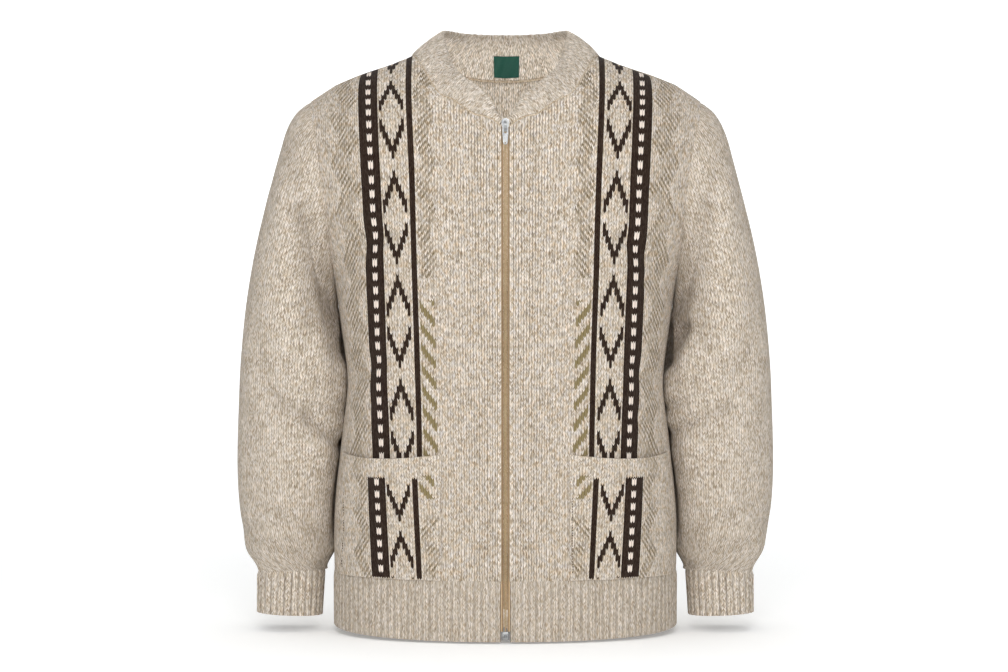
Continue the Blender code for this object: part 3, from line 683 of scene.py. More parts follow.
def charted_yarn(tree, values, marl, chance, patches):
    """The marl with hatch, dashes, brown and pale stitches laid over it, each by its own share."""
    faint = add(tree, "Math", [chance, 0.55, 0.45], operation="MULTIPLY_ADD")
    faint = add(tree, "Math", [faint, values["lattice"]], operation="MULTIPLY")
    patchy = add(tree, "MapRange", [patches, 0.40, 0.55, 0.35, 1.0])
    faint = add(tree, "Math", [faint, patchy], operation="MULTIPLY")
    strong = add(tree, "Math", [values["dash"], 0.92], operation="MULTIPLY")
    speck = add(tree, "Math", [chance, 0.10], operation="MULTIPLY")
    dark = add(tree, "Mix", {0: speck, 6: linear(YARN_BROWN), 7: linear(YARN_FAWN)}, 2, data_type="RGBA")
    for share, colour in ((faint, linear(YARN_HATCH)), (strong, linear(YARN_KHAKI)),
                          (values["brown"], dark), (values["pale"], linear(YARN_PALE))):
        marl = add(tree, "Mix", {0: share, 6: marl, 7: colour}, 2, data_type="RGBA")
    return marl


print("weights of chance:", LEG_CHANCE, STROKES, PATCHES)

# %% [markdown]
# ## Knit as a material
#
# The legs of a stitch are round, so light is painted onto their middles and shade into the gaps beside
# the wale, while the bump rounds them. On a rib, light is painted on the crests and shade in the
# valleys. The painted shade is a warm brown, multiplied into the gaps and into deep folds. Wool fibres
# scatter light at grazing angles, hence a high roughness and some sheen.
# Each part of the sweater is knitted at its own tension, so each gets its own contrast and gaps.

# %% Knits
LEG_ROUND = 0.0008
# how far the painted shade darkens the knit where the point attribute is 1
FOLD_DARK = 0.74


def knit_material(name, rules=None, contrast=1.0, rib_shade=0.0, tone=1.0, gap_shade=0.55):
    """Marled knit: its yarn times painted light and shade, lighter on the legs' middles and darker in the
    gaps of the stitches and in folds, with a bump that is the root of sin(pi x) sin(pi y) over each leg."""
    material, tree = new_material(name, Roughness=0.92, IOR=1.5, Specular_IOR_Level=0.12,
                                  Sheen_Weight=0.04, Sheen_Roughness=0.5)
    stitches, values = stitch_values(tree, rules)
    marl, chance, patches = marled_yarn(tree, stitches, values, contrast, 0.55 if rules else 0.30)
    # painted light and shade at stitch scale: lighter on the legs' middles, darker in the gaps
    light = add(tree, "Math", [values["height"], 0.42, 0.66], operation="MULTIPLY_ADD")
    light = add(tree, "Math", [values["gap"], -gap_shade, light], operation="MULTIPLY_ADD")
    if rules:
        marl = charted_yarn(tree, values, marl, chance, patches)
        # deeper painted shade in the stitch gaps near the front edge
        near_edge = add(tree, "MapRange", [values["u"], 8.0, 22.0, 0.35, 0.0])
        edge_gaps = add(tree, "Math", [near_edge, values["gap"]], operation="MULTIPLY")
        light = add(tree, "Math", [light, edge_gaps], operation="SUBTRACT")
    # on ribs, painted light on the crests and painted shade in the valleys
    if rib_shade:
        light = add(tree, "Math", [values["valley"], rib_shade, light], operation="MULTIPLY_ADD")
    # painted shade from the point attribute, deepest in folds and beside the body, tinted towards a warm
    # brown; below 0 it paints light
    depth = add(tree, "Attribute", output=2, attribute_name="hollow")
    deep = add(tree, "Math", [depth, -FOLD_DARK * tone, tone], operation="MULTIPLY_ADD")
    light = add(tree, "Math", [light, deep], operation="MULTIPLY")
    light = add(tree, "Mix", {0: light, 6: linear(PAINTED_SHADE_BROWN), 7: linear("#FFFFFF")}, 2, data_type="RGBA",
                clamp_factor=False)
    shaded = add(tree, "Mix", {0: 1.0, 6: marl, 7: light}, 2, **MULTIPLY)
    bump = add(tree, "Bump", {"Strength": 0.75, "Distance": LEG_ROUND, "Height": values["height"]})
    return finished(material, Base_Color=shaded, Normal=bump)


plain_knit = knit_material("marled_stocking_stitch", contrast=0.86)
front_knit = knit_material("marled_jacquard_front", FRONT_RULES, contrast=0.93)
pocket_knit = knit_material("marled_jacquard_pocket", POCKET_RULES, contrast=0.85, tone=1.02)
hem_knit = knit_material("marled_rib_hem", contrast=0.75, rib_shade=0.04, tone=0.91, gap_shade=0.45)
cuff_knit = knit_material("marled_rib_cuff", contrast=0.88, rib_shade=0.11, tone=0.91, gap_shade=0.45)
# the neckband's tone of 1.12 paints in light that the folded band does not get
neck_knit = knit_material("marled_rib_neck", contrast=1.15, rib_shade=0.03, tone=1.12, gap_shade=0.50)
# the inside of the back, seen through the neck, is the reverse of the knit, and a tone of 1.32 paints light
# on it
reverse_knit = knit_material("marled_reverse_side", tone=1.32)
knits = (plain_knit, front_knit, pocket_knit, hem_knit, cuff_knit, neck_knit, reverse_knit)
print("knits:", [knit.name for knit in knits])

# %% [markdown]
# ## How the fronts are knitted
#
# Each panel is knitted upwards from the hem: its columns run from the hem seam to the neckline or the
# shoulder, and its rows are shared out between them. u is drawn from two lines that run up the front, the
# middle of the dark stripe and of the dark band, which lean in towards the waist as the cloth does. v is
# read from a table of heights and rows, because worn knit is stretched more in some places than others.

# %% Stitch map of the fronts
ARC_SHARES = np.linspace(0, 1, 13)

FRONT_LINES = (
    # height, stripe_across, band_across
    (-0.620, 0.0975, 0.1412),
    (-0.467, 0.0979, 0.1424),
    (-0.333, 0.1016, 0.1478),
    (-0.190, 0.1059, 0.1527),
    (-0.100, 0.1092, 0.1570),
    (-0.030, 0.1125, 0.1612),
    (0.010, 0.1135, 0.1625),
)
FRONT_ROWS = (
    # height, row
    (-0.6110, 0.0),
    (-0.3836, 113.0),
    (-0.2635, 173.0),
    (-0.1434, 233.0),
    (-0.1180, 245.0),
    (-0.1030, 253.0),
    (-0.0875, 261.0),
    (-0.0730, 269.0),
    (-0.0600, 277.0),
    (-0.0480, 285.0),
    (-0.0350, 293.5),
    (-0.0220, 302.0),
    (0.0040, 320.0),
)
POCKET_LINES = (
    # height, stripe_across, band_across
    (-0.610, 0.0977, 0.1418),
    (-0.498, 0.1032, 0.1476),
    (-0.460, 0.1048, 0.1494),
)


def wales_across(points, lines):
    """u of each point: even wales from the front edge to the stripe and to the band, then the arc length
    round the section beyond the band, over the width of a wale."""
    x, z = np.abs(points[..., 0]), points[..., 2]
    stripe, band = through(lines, 1, z), through(lines, 2, z)
    inner = STRIPE * (x - FRONT_EDGE) / (stripe - FRONT_EDGE)
    middle = STRIPE + (BAND - STRIPE) * (x - stripe) / (band - stripe)
    from_band = turn(band, z)[..., None]
    angles = from_band + (np.maximum(turn(x, z), turn(band, z))[..., None] - from_band) * ARC_SHARES
    arc = body_point(angles, np.broadcast_to(z[..., None], angles.shape), FRONT)
    outer = BAND + np.linalg.norm(np.diff(arc, axis=-2), axis=-1).sum(axis=-1) / WALE
    return np.where(x < stripe, inner, np.where(x < band, middle, outer))


print("rows from hem to neck point:", FRONT_ROWS[-1][1])

# %% [markdown]
# ## Fronts
#
# The neckline is cut from a curve through marked points, and the shoulder from the ridge. Beside the
# zip the front's edge is turned in as a facing, which stands a little proud as a soft roll. The two fronts
# share one draft, turned over, but not their folds.

# %% Fronts
FRONT_NECK = (
    # across, height
    (0.0054, -0.0905),
    (0.0120, -0.0840),
    (0.0220, -0.0790),
    (0.0370, -0.0755),
    (0.0480, -0.0680),
    (0.0600, -0.0595),
    (0.0790, -0.0490),
    (0.0920, -0.0270),
    (0.1040, -0.0040),
    (0.1100, 0.0030),
)
ROLL_HEIGHT = 0.0008
ROLL_AT = 0.0072
ROLL_REACH = 0.0018


def panel_grid(side, first, tops, top_heights, shares):
    """Points from the hem seam up: heights are shared out along each column, and each row's angles are
    shared out between the front edge and the side seam or armhole."""
    first_top = turn(np.full_like(tops, first), top_heights)
    share = np.clip((turn(tops, top_heights) - first_top) / (edge_angle(top_heights) - first_top), 0, 1)
    heights = HEM_SEAM + SEAM_GAP / 2 + (top_heights - HEM_SEAM) * shares[:, None]
    start = turn(np.full_like(heights, first), heights)
    return body_point(start + (edge_angle(heights) - start) * share, heights, side)


def row_shares(below, above):
    """Even rows from the hem to the underarm, and from there to the shoulder."""
    underarm = (UNDERARM - HEM_SEAM) / (SHOULDER_RIDGE[-1][1] - HEM_SEAM)
    return np.concatenate([np.linspace(0, underarm, below + 1), np.linspace(underarm, 1, above + 1)[1:]])


def panel_top(across, neck):
    """Height of the panel's top: the neckline, then the shoulder ridge."""
    return np.where(across < NECK_POINT, through(neck, 1, across), straight(SHOULDER_RIDGE, 1, across))


def across_top(first, spread):
    """Where the columns meet the neckline, then the shoulder."""
    neck = first + (NECK_POINT - first) * spread
    return np.concatenate([neck, np.linspace(NECK_POINT, ARMHOLE[-1][1], 34)[1:]])


def front_edge_roll(x, z):
    """A bell curve across the rolled facing beside the zip, and a small waver that dies away from it."""
    roll = ROLL_HEIGHT * np.exp(-(((x - ROLL_AT) / ROLL_REACH) ** 2))
    return roll + 0.0005 * np.sin(120 * z) * np.exp(-x / 0.02)


tops = across_top(FRONT_EDGE, np.linspace(0, 1, 34) ** 1.35)
for name, hand in HANDS:
    points = panel_grid(FRONT, FRONT_EDGE, tops, panel_top(tops, FRONT_NECK), row_shares(86, 60))
    x, z = points[..., 0], points[..., 2]
    stitches = np.stack([wales_across(points, FRONT_LINES), through(FRONT_ROWS, 1, z)], axis=-1)
    relief = body_relief(hand * x, z, FRONT) + front_edge_roll(x, z)
    points[..., 0] *= hand
    knitted("front_cloth_" + name, "front_" + name, "marled_knit", points, relief, stitches, KNIT_WALL,
            front_knit)

# %% [markdown]
# ## Back
#
# The back is one plain panel. Half of it is drafted from the middle outwards and mirrored. A Mirror
# modifier would mirror its folds too, so they are laid on the whole afterwards. Its inner face shows
# behind the neck, and gets the reverse side of the knit as a second material.

# %% Back
BACK_NECK = (
    # across, height
    (0.000, -0.0160),
    (0.042, -0.0140),
    (0.080, -0.0060),
    (0.104, 0.0010),
    (0.110, 0.0030),
)
tops = across_top(0.0, np.linspace(0, 1, 30))
half = panel_grid(BACK, 0.0, tops, panel_top(tops, BACK_NECK), row_shares(80, 56))
points = both_sides(half)
across = lengths(half, 1)
across = np.concatenate([-across[:, :0:-1], across], axis=1) / WALE
stitches = np.stack([across + 0.5, lengths(points, 0) / COURSE], axis=-1)
relief = body_relief(points[..., 0], points[..., 2], BACK)
knitted("back_cloth", "back", "marled_knit", points, relief, stitches, KNIT_WALL, plain_knit,
        reverse=reverse_knit)

# %% [markdown]
# ## Rib at the hem
#
# Hem and cuffs are ribbed: two knit wales, then two purl ones, so the cloth pleats itself into small
# upright ridges and pulls in. A rib is a wave across the surface, and here it is real relief, a cosine
# 1.0 mm deep on the relaxed hem and 1.5 mm on the tighter cuffs. The hem has three stretches, because
# the zip parts the front and the side seams part front and back.

# %% Hem
HEM_SIDE = -0.6725
HEM_DIP = {FRONT: 0.0080, BACK: 0.0010}
HEM_OVERLAP = 0.0040
HEM_TUCK = 0.0020
HEM_FLARE = 0.0012
RIB_PITCH = 0.0086
HEM_RIB = 0.0010
WALES_A_RIB = 4


def rib_wave(along, pitch, depth):
    """Half the depth times cos(2 pi length / pitch)."""
    return depth * 0.5 * np.cos(2 * math.pi * along / pitch)


def rib_stitches(points, pitch):
    """Wales counted along the rib, four to each pitch, and rows counted down."""
    wales = lengths(points, 1) / (pitch / WALES_A_RIB) + 1.0
    return np.stack([wales, -lengths(points, 0) / COURSE], axis=-1)


def hem_points(side, first, columns=290, rows=14):
    """The rib below the hem seam; its lower edge dips towards the middle."""
    share = np.linspace(0, 1, columns)
    start = turn(np.float64(first), np.float64(HEM_SEAM))
    angle = start + (math.pi / 2 - start) * share
    foot = HEM_SIDE - HEM_DIP[side] * np.cos(angle) ** 0.8
    top = HEM_SEAM + HEM_OVERLAP
    heights = top + (foot - top) * np.linspace(0, 1, rows)[:, None]
    return body_point(np.broadcast_to(angle, heights.shape), heights, side)


def hem_relief(points, side):
    """Ribs that open out below the seam, where the cloth is tucked under, and a slow flare at the edge."""
    down = np.linspace(0, 1, len(points))[:, None]
    opened = 0.35 + 0.65 * np.clip(down / 0.15, 0, 1)
    flare = -side * HEM_FLARE * np.sin(24 * points[..., 0] + 1.5) * down ** 2
    tucked = HEM_TUCK * np.clip(1 - down / 0.10, 0, 1)
    return rib_wave(lengths(points, 1), RIB_PITCH, HEM_RIB) * opened + flare - tucked


for name, side, hand in (("front_left", FRONT, 1), ("front_right", FRONT, -1), ("back", BACK, 1)):
    points = hem_points(FRONT, FRONT_EDGE) if side == FRONT else both_sides(hem_points(BACK, 0.0))
    relief = hem_relief(points, side)
    stitches = rib_stitches(points, RIB_PITCH)
    points[..., 0] *= hand
    knitted("hem_rib_" + name, "hem_" + name, "ribbed_knit", points, relief, stitches, RIB_WALL, hem_knit)

# %% [markdown]
# ## The sleeve as a row of rings
#
# A set-in sleeve is a tube that starts at the armhole's own edge and narrows to the wrist, with its seam
# on the underside. A bent cylinder could be sculpted into one, but it would miss the armhole. So it is made
# of rings: the first follows the armhole, the rest are superellipses, and a Hermite curve joins them.
# Where the arm hangs beside the body, the rings are pushed clear of it.

# %% Sleeve rings
SLEEVE_RINGS = (
    # ring, outer_x, outer_z, inner_x, inner_z, middle_y, front_depth, back_depth
    (0, 0.2325, -0.0520, 0.2087, -0.2720, 0.000, 0.060, 0.062),
    (1, 0.2495, -0.0665, 0.2100, -0.2800, 0.000, 0.064, 0.066),
    (2, 0.2620, -0.0905, 0.2100, -0.2880, 0.001, 0.067, 0.069),
    (3, 0.2730, -0.1260, 0.2095, -0.2980, 0.003, 0.070, 0.072),
    (4, 0.2860, -0.1760, 0.2060, -0.3100, 0.006, 0.072, 0.074),
    (5, 0.2995, -0.2330, 0.2000, -0.3260, 0.010, 0.073, 0.075),
    (6, 0.3105, -0.2950, 0.1930, -0.3490, 0.016, 0.073, 0.075),
    (7, 0.3165, -0.3550, 0.1860, -0.3830, 0.023, 0.071, 0.073),
    (8, 0.3195, -0.4100, 0.1840, -0.4240, 0.027, 0.066, 0.073),
    (9, 0.3205, -0.4600, 0.1890, -0.4660, 0.028, 0.068, 0.068),
    (10, 0.3195, -0.5150, 0.1970, -0.5150, 0.025, 0.063, 0.062),
    (11, 0.3160, -0.5550, 0.2040, -0.5530, 0.020, 0.056, 0.055),
    (12, 0.3080, -0.5860, 0.2100, -0.5820, 0.014, 0.047, 0.047),
    (13, 0.2956, -0.6095, 0.2193, -0.6035, 0.0063, 0.0343, 0.0343),
    (14, 0.2950, -0.6160, 0.2195, -0.6100, 0.006, 0.034, 0.034),
)
SLEEVE_ROUNDNESS = 2.15
SLEEVE_CLEARANCE = 0.0042
ARMHOLE_GAP = 0.0004
UNDERARM_SINK = 0.0010
SLEEVE_STEPS = 168


def superellipse(steps):
    """x = sign(cos) |cos|^(2/n), y = sign(sin) |sin|^(2/n), starting at the inner side under the arm."""
    angle = math.pi + np.linspace(0, 2 * math.pi, steps, endpoint=False)
    power = 2 / SLEEVE_ROUNDNESS
    c, s = np.cos(angle), -np.sin(angle)
    return np.sign(c) * np.abs(c) ** power, np.sign(s) * np.abs(s) ** power


def sleeve_ring(ring, steps):
    """One ring, in the plane through its outer and inner points."""
    outwards, forwards = superellipse(steps)
    row = [through(SLEEVE_RINGS, column, float(ring)) for column in range(1, 8)]
    outer_x, outer_z, inner_x, inner_z, middle_y, front, rear = row
    x = (outer_x + inner_x) / 2 + outwards * (outer_x - inner_x) / 2
    z = (outer_z + inner_z) / 2 + outwards * (outer_z - inner_z) / 2
    return np.stack([x, middle_y - forwards * np.where(forwards > 0, front, rear), z], axis=-1)


def armhole_ring(steps):
    """The body's armhole edge, a hair's breadth out."""
    outwards, forwards = superellipse(steps)
    top = SHOULDER_RIDGE[-1][1]
    z = (top + UNDERARM) / 2 + outwards * (top - UNDERARM) / 2
    angle = edge_angle(z)
    loop = np.where((forwards > 0)[:, None], body_point(angle, z, FRONT), body_point(angle, z, BACK))
    loop[[0, steps // 2], 1] = 0.0
    loop[:, 0] += ARMHOLE_GAP
    loop[:, 2] -= UNDERARM_SINK * ((1 - outwards) / 2) ** 2
    return loop


print("armhole:", round(1000 * float(np.ptp(armhole_ring(SLEEVE_STEPS)[:, 2]))), "mm deep")

# %% [markdown]
# ## Beside the body
#
# An arm that hangs presses its sleeve against the body's side, and the two never share a space. Each ring
# is tested against the body's own superellipse and pushed out where it would go through it. A cloth
# simulation could find the same place, but it would take minutes and never give quite the same shape twice.

# %% Sleeve draft
def clear_of_body(points):
    """Pushes points out to the body's superellipse and a clearance. A ring's inner points are also drawn
    in to lie against it, as the arm's weight does."""
    height = np.minimum(points[..., 2], UNDERARM)
    front = points[..., 1] < 0
    depth = np.where(front, through(BODY_SECTIONS, 2, height), through(BODY_SECTIONS, 3, height))
    share = np.clip(np.abs(points[..., 1]) / (depth + SLEEVE_CLEARANCE), 0, 1)
    limit = (half_width(height) + SLEEVE_CLEARANCE) * (1 - share ** ROUNDNESS) ** (1 / ROUNDNESS)
    cleared = points.copy()
    cleared[..., 0] = np.maximum(points[..., 0], limit)
    low, high = points[..., 0].min(), points[..., 0].max()
    inner = np.clip(((high - points[..., 0]) / (high - low) - 0.86) / 0.10, 0, 1)
    near = np.clip(1.6 - (cleared[..., 0] - limit) / 0.010, 0, 1)
    cleared[..., 0] += (limit - cleared[..., 0]) * inner * near
    return cleared


def between_rings(rings, at):
    """Points at fractional ring numbers: cubic Hermite pieces through whole rings."""
    slope = np.gradient(rings, axis=0)
    low = np.clip(at.astype(int), 0, len(rings) - 2)
    return hermite((at - low)[:, None, None], rings[low], rings[low + 1], slope[low], slope[low + 1])


rings = [armhole_ring(SLEEVE_STEPS)]
rings += [clear_of_body(sleeve_ring(row[0], SLEEVE_STEPS)) for row in SLEEVE_RINGS[1:]]
sleeve_draft = between_rings(np.array(rings), np.linspace(0, SLEEVE_RINGS[-1][0], 186))
print("sleeve draft:", sleeve_draft.shape[0], "rings of", sleeve_draft.shape[1], "points")

# %% [markdown]
# ## Stitches round an arm
#
# The wales run down the arm. A sleeve widens and bends, so no flat map fits it without some stretch. Here
# the wales are spaced by the angle round the arm, and the rows by a mix of height and length, which keeps
# the stretch small on the outer side, where it shows.

# %% Stitch map of the sleeves
SLEEVE_GIRTH = 0.426


def sleeve_stitches(points):
    """u is the angle round the sleeve's middle line times its mean radius, over a wale. v is halfway
    between the drop from the shoulder and the length of the sleeve's outer edge, over a course."""
    steps = points.shape[1]
    whole = closed(points)
    edge = points[:, steps // 2]
    run = lengths(edge[:, None], 0)[:, 0]
    drop = -whole[..., 2]
    radius = SLEEVE_GIRTH / (2 * math.pi)
    out = whole[..., 0] - np.interp(drop, -edge[:, 2], edge[:, 0]) + 0.8 * radius
    forward = whole[..., 1] - np.interp(drop, -edge[:, 2], edge[:, 1])
    front_half = np.where(np.arange(steps + 1) <= steps // 2, -1, 1)
    around = np.arctan2(np.abs(forward), out) * front_half * radius / WALE
    return np.stack([around, -0.5 * (np.interp(drop, -edge[:, 2], run) + drop) / COURSE], axis=-1)


sleeve_map = sleeve_stitches(sleeve_draft)
print("wales round a sleeve:", round(float(np.ptp(sleeve_map[100, :, 0]))))

# %% [markdown]
# ## How a sleeve creases
#
# The elbow's deep slanting crease is what makes a sleeve look like heavy knit, with long soft troughs
# above it and short ones over the cuff. The left and the right arm hang differently, so each has a
# table of its own for the front. x is counted outwards on both.

# %% Folds of the sleeves
SLEEVE_FRONT_FOLDS = {
    # start_x, start_z, end_x, end_z, width, depth
    "right": (
        (0.252, -0.110, 0.243, -0.190, 0.014, 0.0030),
        (0.243, -0.190, 0.228, -0.310, 0.018, 0.0052),
        (0.222, -0.200, 0.196, -0.350, 0.013, 0.0060),
        (0.262, -0.170, 0.258, -0.340, 0.016, -0.0022),
        (0.270, -0.404, 0.236, -0.428, 0.010, 0.0036),
        (0.236, -0.428, 0.200, -0.458, 0.010, 0.0058),
        (0.250, -0.445, 0.212, -0.470, 0.012, -0.0024),
        (0.226, -0.412, 0.198, -0.420, 0.007, 0.0030),
        (0.200, -0.470, 0.202, -0.575, 0.010, 0.0040),
        (0.290, -0.360, 0.276, -0.400, 0.010, 0.0018),
        (0.240, -0.586, 0.296, -0.574, 0.008, 0.0022),
        (0.226, -0.562, 0.262, -0.546, 0.009, 0.0020),
        (0.306, -0.558, 0.272, -0.532, 0.009, 0.0018),
    ),
    "left": (
        (0.249, -0.118, 0.236, -0.180, 0.012, 0.0026),
        (0.214, -0.170, 0.202, -0.320, 0.014, 0.0054),
        (0.236, -0.180, 0.226, -0.330, 0.016, 0.0036),
        (0.206, -0.322, 0.192, -0.362, 0.010, 0.0100),
        (0.262, -0.170, 0.268, -0.330, 0.014, -0.0020),
        (0.268, -0.398, 0.232, -0.420, 0.010, -0.0026),
        (0.262, -0.412, 0.196, -0.446, 0.010, 0.0052),
        (0.214, -0.408, 0.196, -0.418, 0.007, 0.0034),
        (0.282, -0.345, 0.268, -0.385, 0.011, 0.0020),
        (0.200, -0.460, 0.203, -0.580, 0.010, 0.0040),
        (0.236, -0.582, 0.290, -0.577, 0.008, 0.0022),
        (0.230, -0.556, 0.268, -0.541, 0.010, 0.0018),
        (0.308, -0.550, 0.276, -0.520, 0.009, 0.0020),
    ),
}
SLEEVE_BACK_FOLDS = (
    # start_x, start_z, end_x, end_z, width, depth
    (0.205, -0.390, 0.275, -0.420, 0.013, 0.0070),
    (0.210, -0.450, 0.290, -0.455, 0.011, 0.0044),
    (0.230, -0.160, 0.225, -0.300, 0.014, 0.0050),
    (0.300, -0.350, 0.268, -0.400, 0.011, 0.0034),
    (0.245, -0.580, 0.300, -0.568, 0.009, 0.0036),
    (0.228, -0.550, 0.280, -0.535, 0.010, 0.0034),
)
print("folds:", len(SLEEVE_FRONT_FOLDS["left"]) + len(SLEEVE_BACK_FOLDS), "a sleeve")

# %% [markdown]
# ## Relief of a sleeve
#
# The folds are joined by what the seams do. The sleeve sinks into its armhole seam, and puffs out above
# the narrow cuff, which gathers it into pleats. The side that faces the body is kept smooth, because cloth
# pressed flat has no folds, and shade is painted on it, because little light comes in there. The deepest
# folds get painted shade too.

# %% Sleeves
CUFF_RIBS = 28
PUFF = 0.0022
PUFF_AT = 0.034
PUFF_REACH = 0.016
GATHER = 0.0016
CUFF_SINK = 0.0010
SEAM_SINK = 0.0011
# how much shade is painted beside the body, and in the sleeve's deepest folds
BESIDE_BODY_DARK = 0.62
FOLD_PAINTED_SHADE = 0.36


def cuff_gather(points, from_cuff, outwards, hand):
    """The puff, a bell curve above the cuff, and the pleats below it, a wave that dies away upwards."""
    around = np.arange(points.shape[1]) / points.shape[1] * 2 * math.pi
    puff = PUFF * np.exp(-(((from_cuff - PUFF_AT) / PUFF_REACH) ** 2))
    puff = puff * (1 + 0.6 * np.sin(5 * around + hand))
    last = lengths(closed(points), 1)[-1]
    pleats = rib_wave(last[:-1] / last[-1], 1 / CUFF_RIBS, 1.0)
    gather = GATHER * np.exp(-from_cuff / 0.010) * pleats - CUFF_SINK * np.exp(-from_cuff / 0.003)
    outside = np.clip(outwards + 0.9, 0, 1)
    return puff * outside, gather * outside


def sleeve_relief(points, name, hand):
    """Folds on the front and back halves, none where the sleeve faces the body, a sunk armhole seam and
    the gathers at the cuff. The painted shade, in deep folds and beside the body, is given back too."""
    centre = points.mean(axis=1, keepdims=True)
    reach = np.abs(points - centre).max(axis=1, keepdims=True)
    forwards = np.clip((centre - points)[..., 1] / reach[..., 1], -1, 1)
    outwards = np.clip((points - centre)[..., 0] / reach[..., 0], -1, 1)
    x, z = points[..., 0], points[..., 2]
    front = fold_depth(x, z, SLEEVE_FRONT_FOLDS[name]) * np.clip(forwards * 3.5 + 0.2, 0, 1)
    rear = fold_depth(x, z - 0.004 * hand, SLEEVE_BACK_FOLDS) * np.clip(-forwards * 1.6, 0, 1)
    bend = unevenness(1.5 * x + points[..., 1], z) * 1.4 - front - rear
    bend = bend * np.clip((outwards + 0.99) / 0.05, 0, 1)
    along = lengths(points, 0)
    from_cuff = along[-1] - along
    puff, gather = cuff_gather(points, from_cuff, outwards, hand)
    seam = SEAM_SINK * np.exp(-((along / 0.004) ** 2))
    rest = np.clip(along / 0.03, 0, 1) * np.clip(from_cuff / 0.012, 0, 1)
    # painted shade on the side beside the body and in the deepest folds
    from_body = x - half_width(np.minimum(z, UNDERARM))
    beside_body = np.clip(1 - from_body / 0.030, 0, 1) ** 1.5 * np.clip((UNDERARM + 0.10 - z) / 0.14, 0, 1)
    beside_body = beside_body * np.interp(z, (-0.50, -0.36), (0.30, 1.0))
    hollow = np.clip(np.maximum(front, rear) / 0.008, 0, 1) * FOLD_PAINTED_SHADE * rest
    hollow = hollow + BESIDE_BODY_DARK * beside_body
    return (bend + puff) * rest + gather - seam, np.clip(hollow, 0, 0.9)


def make_sleeve(name, hand):
    """The draft with one arm's folds, turned over for the right arm."""
    points = sleeve_draft.copy()
    relief, hollow = sleeve_relief(points, name, hand)
    points[..., 0] *= hand
    knitted("sleeve_cloth_" + name, "sleeve_" + name, "marled_knit", points, relief, sleeve_map, KNIT_WALL,
            plain_knit, ring=True, hollow=hollow)
    print(f"sleeve {name}: relief from {relief.min() * 1000:.1f} to {relief.max() * 1000:.1f} mm")


print("the cuff gathers a sleeve by", 1000 * GATHER, "mm at", CUFF_RIBS, "ribs")

# %% [markdown]
# ## Cuffs
#
# A cuff is a short tube of tight rib. It starts just inside the sleeve's last ring, which is drawn in over
# it, and tapers to the wrist. The number of ribs is whole, so that the wave meets itself at the seam.
# Each sleeve is made together with its cuff.

# %% Sleeves and cuffs
CUFF_FOOT = -0.6630
CUFF_OVERLAP = 0.0040
CUFF_TUCK = 0.0032
CUFF_TAPER = 0.95
CUFF_RIB = 0.0015
CUFF_SLANT = 0.0016
CUFF_COLUMNS = CUFF_RIBS * 10


def make_cuff(name, hand):
    """Straight lines from the sleeve's last ring down to a smaller one, with the ribs as relief."""
    top = sleeve_ring(SLEEVE_RINGS[-1][0], CUFF_COLUMNS)
    foot = top.copy()
    foot[:, 0] = top[:, 0].max() + (foot[:, 0] - top[:, 0].max()) * CUFF_TAPER
    foot[:, 2] = CUFF_FOOT
    top[:, 2] += CUFF_OVERLAP
    share = np.linspace(0, 1, 16)[:, None]
    points = top + (foot - top) * share[..., None]
    around = np.linspace(0, 2 * math.pi, CUFF_COLUMNS, endpoint=False)
    points[..., 2] -= CUFF_SLANT * np.cos(around) * share
    girth = lengths(closed(points), 1)
    relief = rib_wave(girth[:, :-1] / girth[:, -1:], 1 / CUFF_RIBS, CUFF_RIB)
    relief -= CUFF_TUCK * np.clip(1 - share / 0.10, 0, 1)
    stitches = rib_stitches(closed(points), girth[:, -1:] / CUFF_RIBS)
    points[..., 0] *= hand
    knitted("cuff_rib_" + name, "cuff_" + name, "ribbed_knit", points, relief, stitches, RIB_WALL, cuff_knit,
            ring=True)


for name, hand in HANDS:
    make_sleeve(name, hand)
    make_cuff(name, hand)

# %% [markdown]
# ## The neckband's middle surface
#
# The neckband is a strip of rib knitted double, folded over and linked to the neckline. Its middle surface
# rises from the neckline to a ridge, both drawn through a table of stations from the zip to the centre
# back, and bulges a little between them. The band and the label are both laid on it.

# %% Middle of the neckband
COLLAR_WALL = 0.0036
COLLAR_STATIONS = (
    # station, seam_across, ridge_x, ridge_y, ridge_z   (0 at the zip, 7 at the side, 11 centre back)
    (0, 0.0066, 0.0066, -0.1130, -0.0815),
    (1, 0.0220, 0.0115, -0.1095, -0.0730),
    (2, 0.0370, 0.0195, -0.1030, -0.0580),
    (3, 0.0540, 0.0350, -0.0900, -0.0420),
    (4, 0.0760, 0.0530, -0.0700, -0.0260),
    (5, 0.0895, 0.0640, -0.0500, -0.0100),
    (6, 0.1005, 0.0710, -0.0260, 0.0130),
    (7, 0.1100, 0.0745, 0.0000, 0.0300),
    (8, 0.1040, 0.0700, 0.0280, 0.0360),
    (9, 0.0800, 0.0500, 0.0520, 0.0365),
    (10, 0.0420, 0.0260, 0.0640, 0.0370),
    (11, 0.0000, 0.0000, 0.0670, 0.0370),
)
COLLAR_SIDE = 7
COLLAR_BACK = 11
COLLAR_LIFT = 0.0008
COLLAR_BULGE = 0.0030
NECK_CENTRE = np.array([0.0, 0.0, -0.05])


def collar_seam(station):
    """Point of the neckline at a station of the neckband."""
    across = np.clip(through(COLLAR_STATIONS, 1, station), 0, NECK_POINT)
    front_height, back_height = through(FRONT_NECK, 1, across), through(BACK_NECK, 1, across)
    front = body_point(turn(across, front_height), front_height, -1)
    rear = body_point(turn(across, back_height), back_height, 1)
    seam = np.where((station <= COLLAR_SIDE)[..., None], front, rear)
    near_side = np.exp(-(((station - COLLAR_SIDE) / 0.12) ** 2))
    seam[..., 1] *= 1 - near_side
    return seam


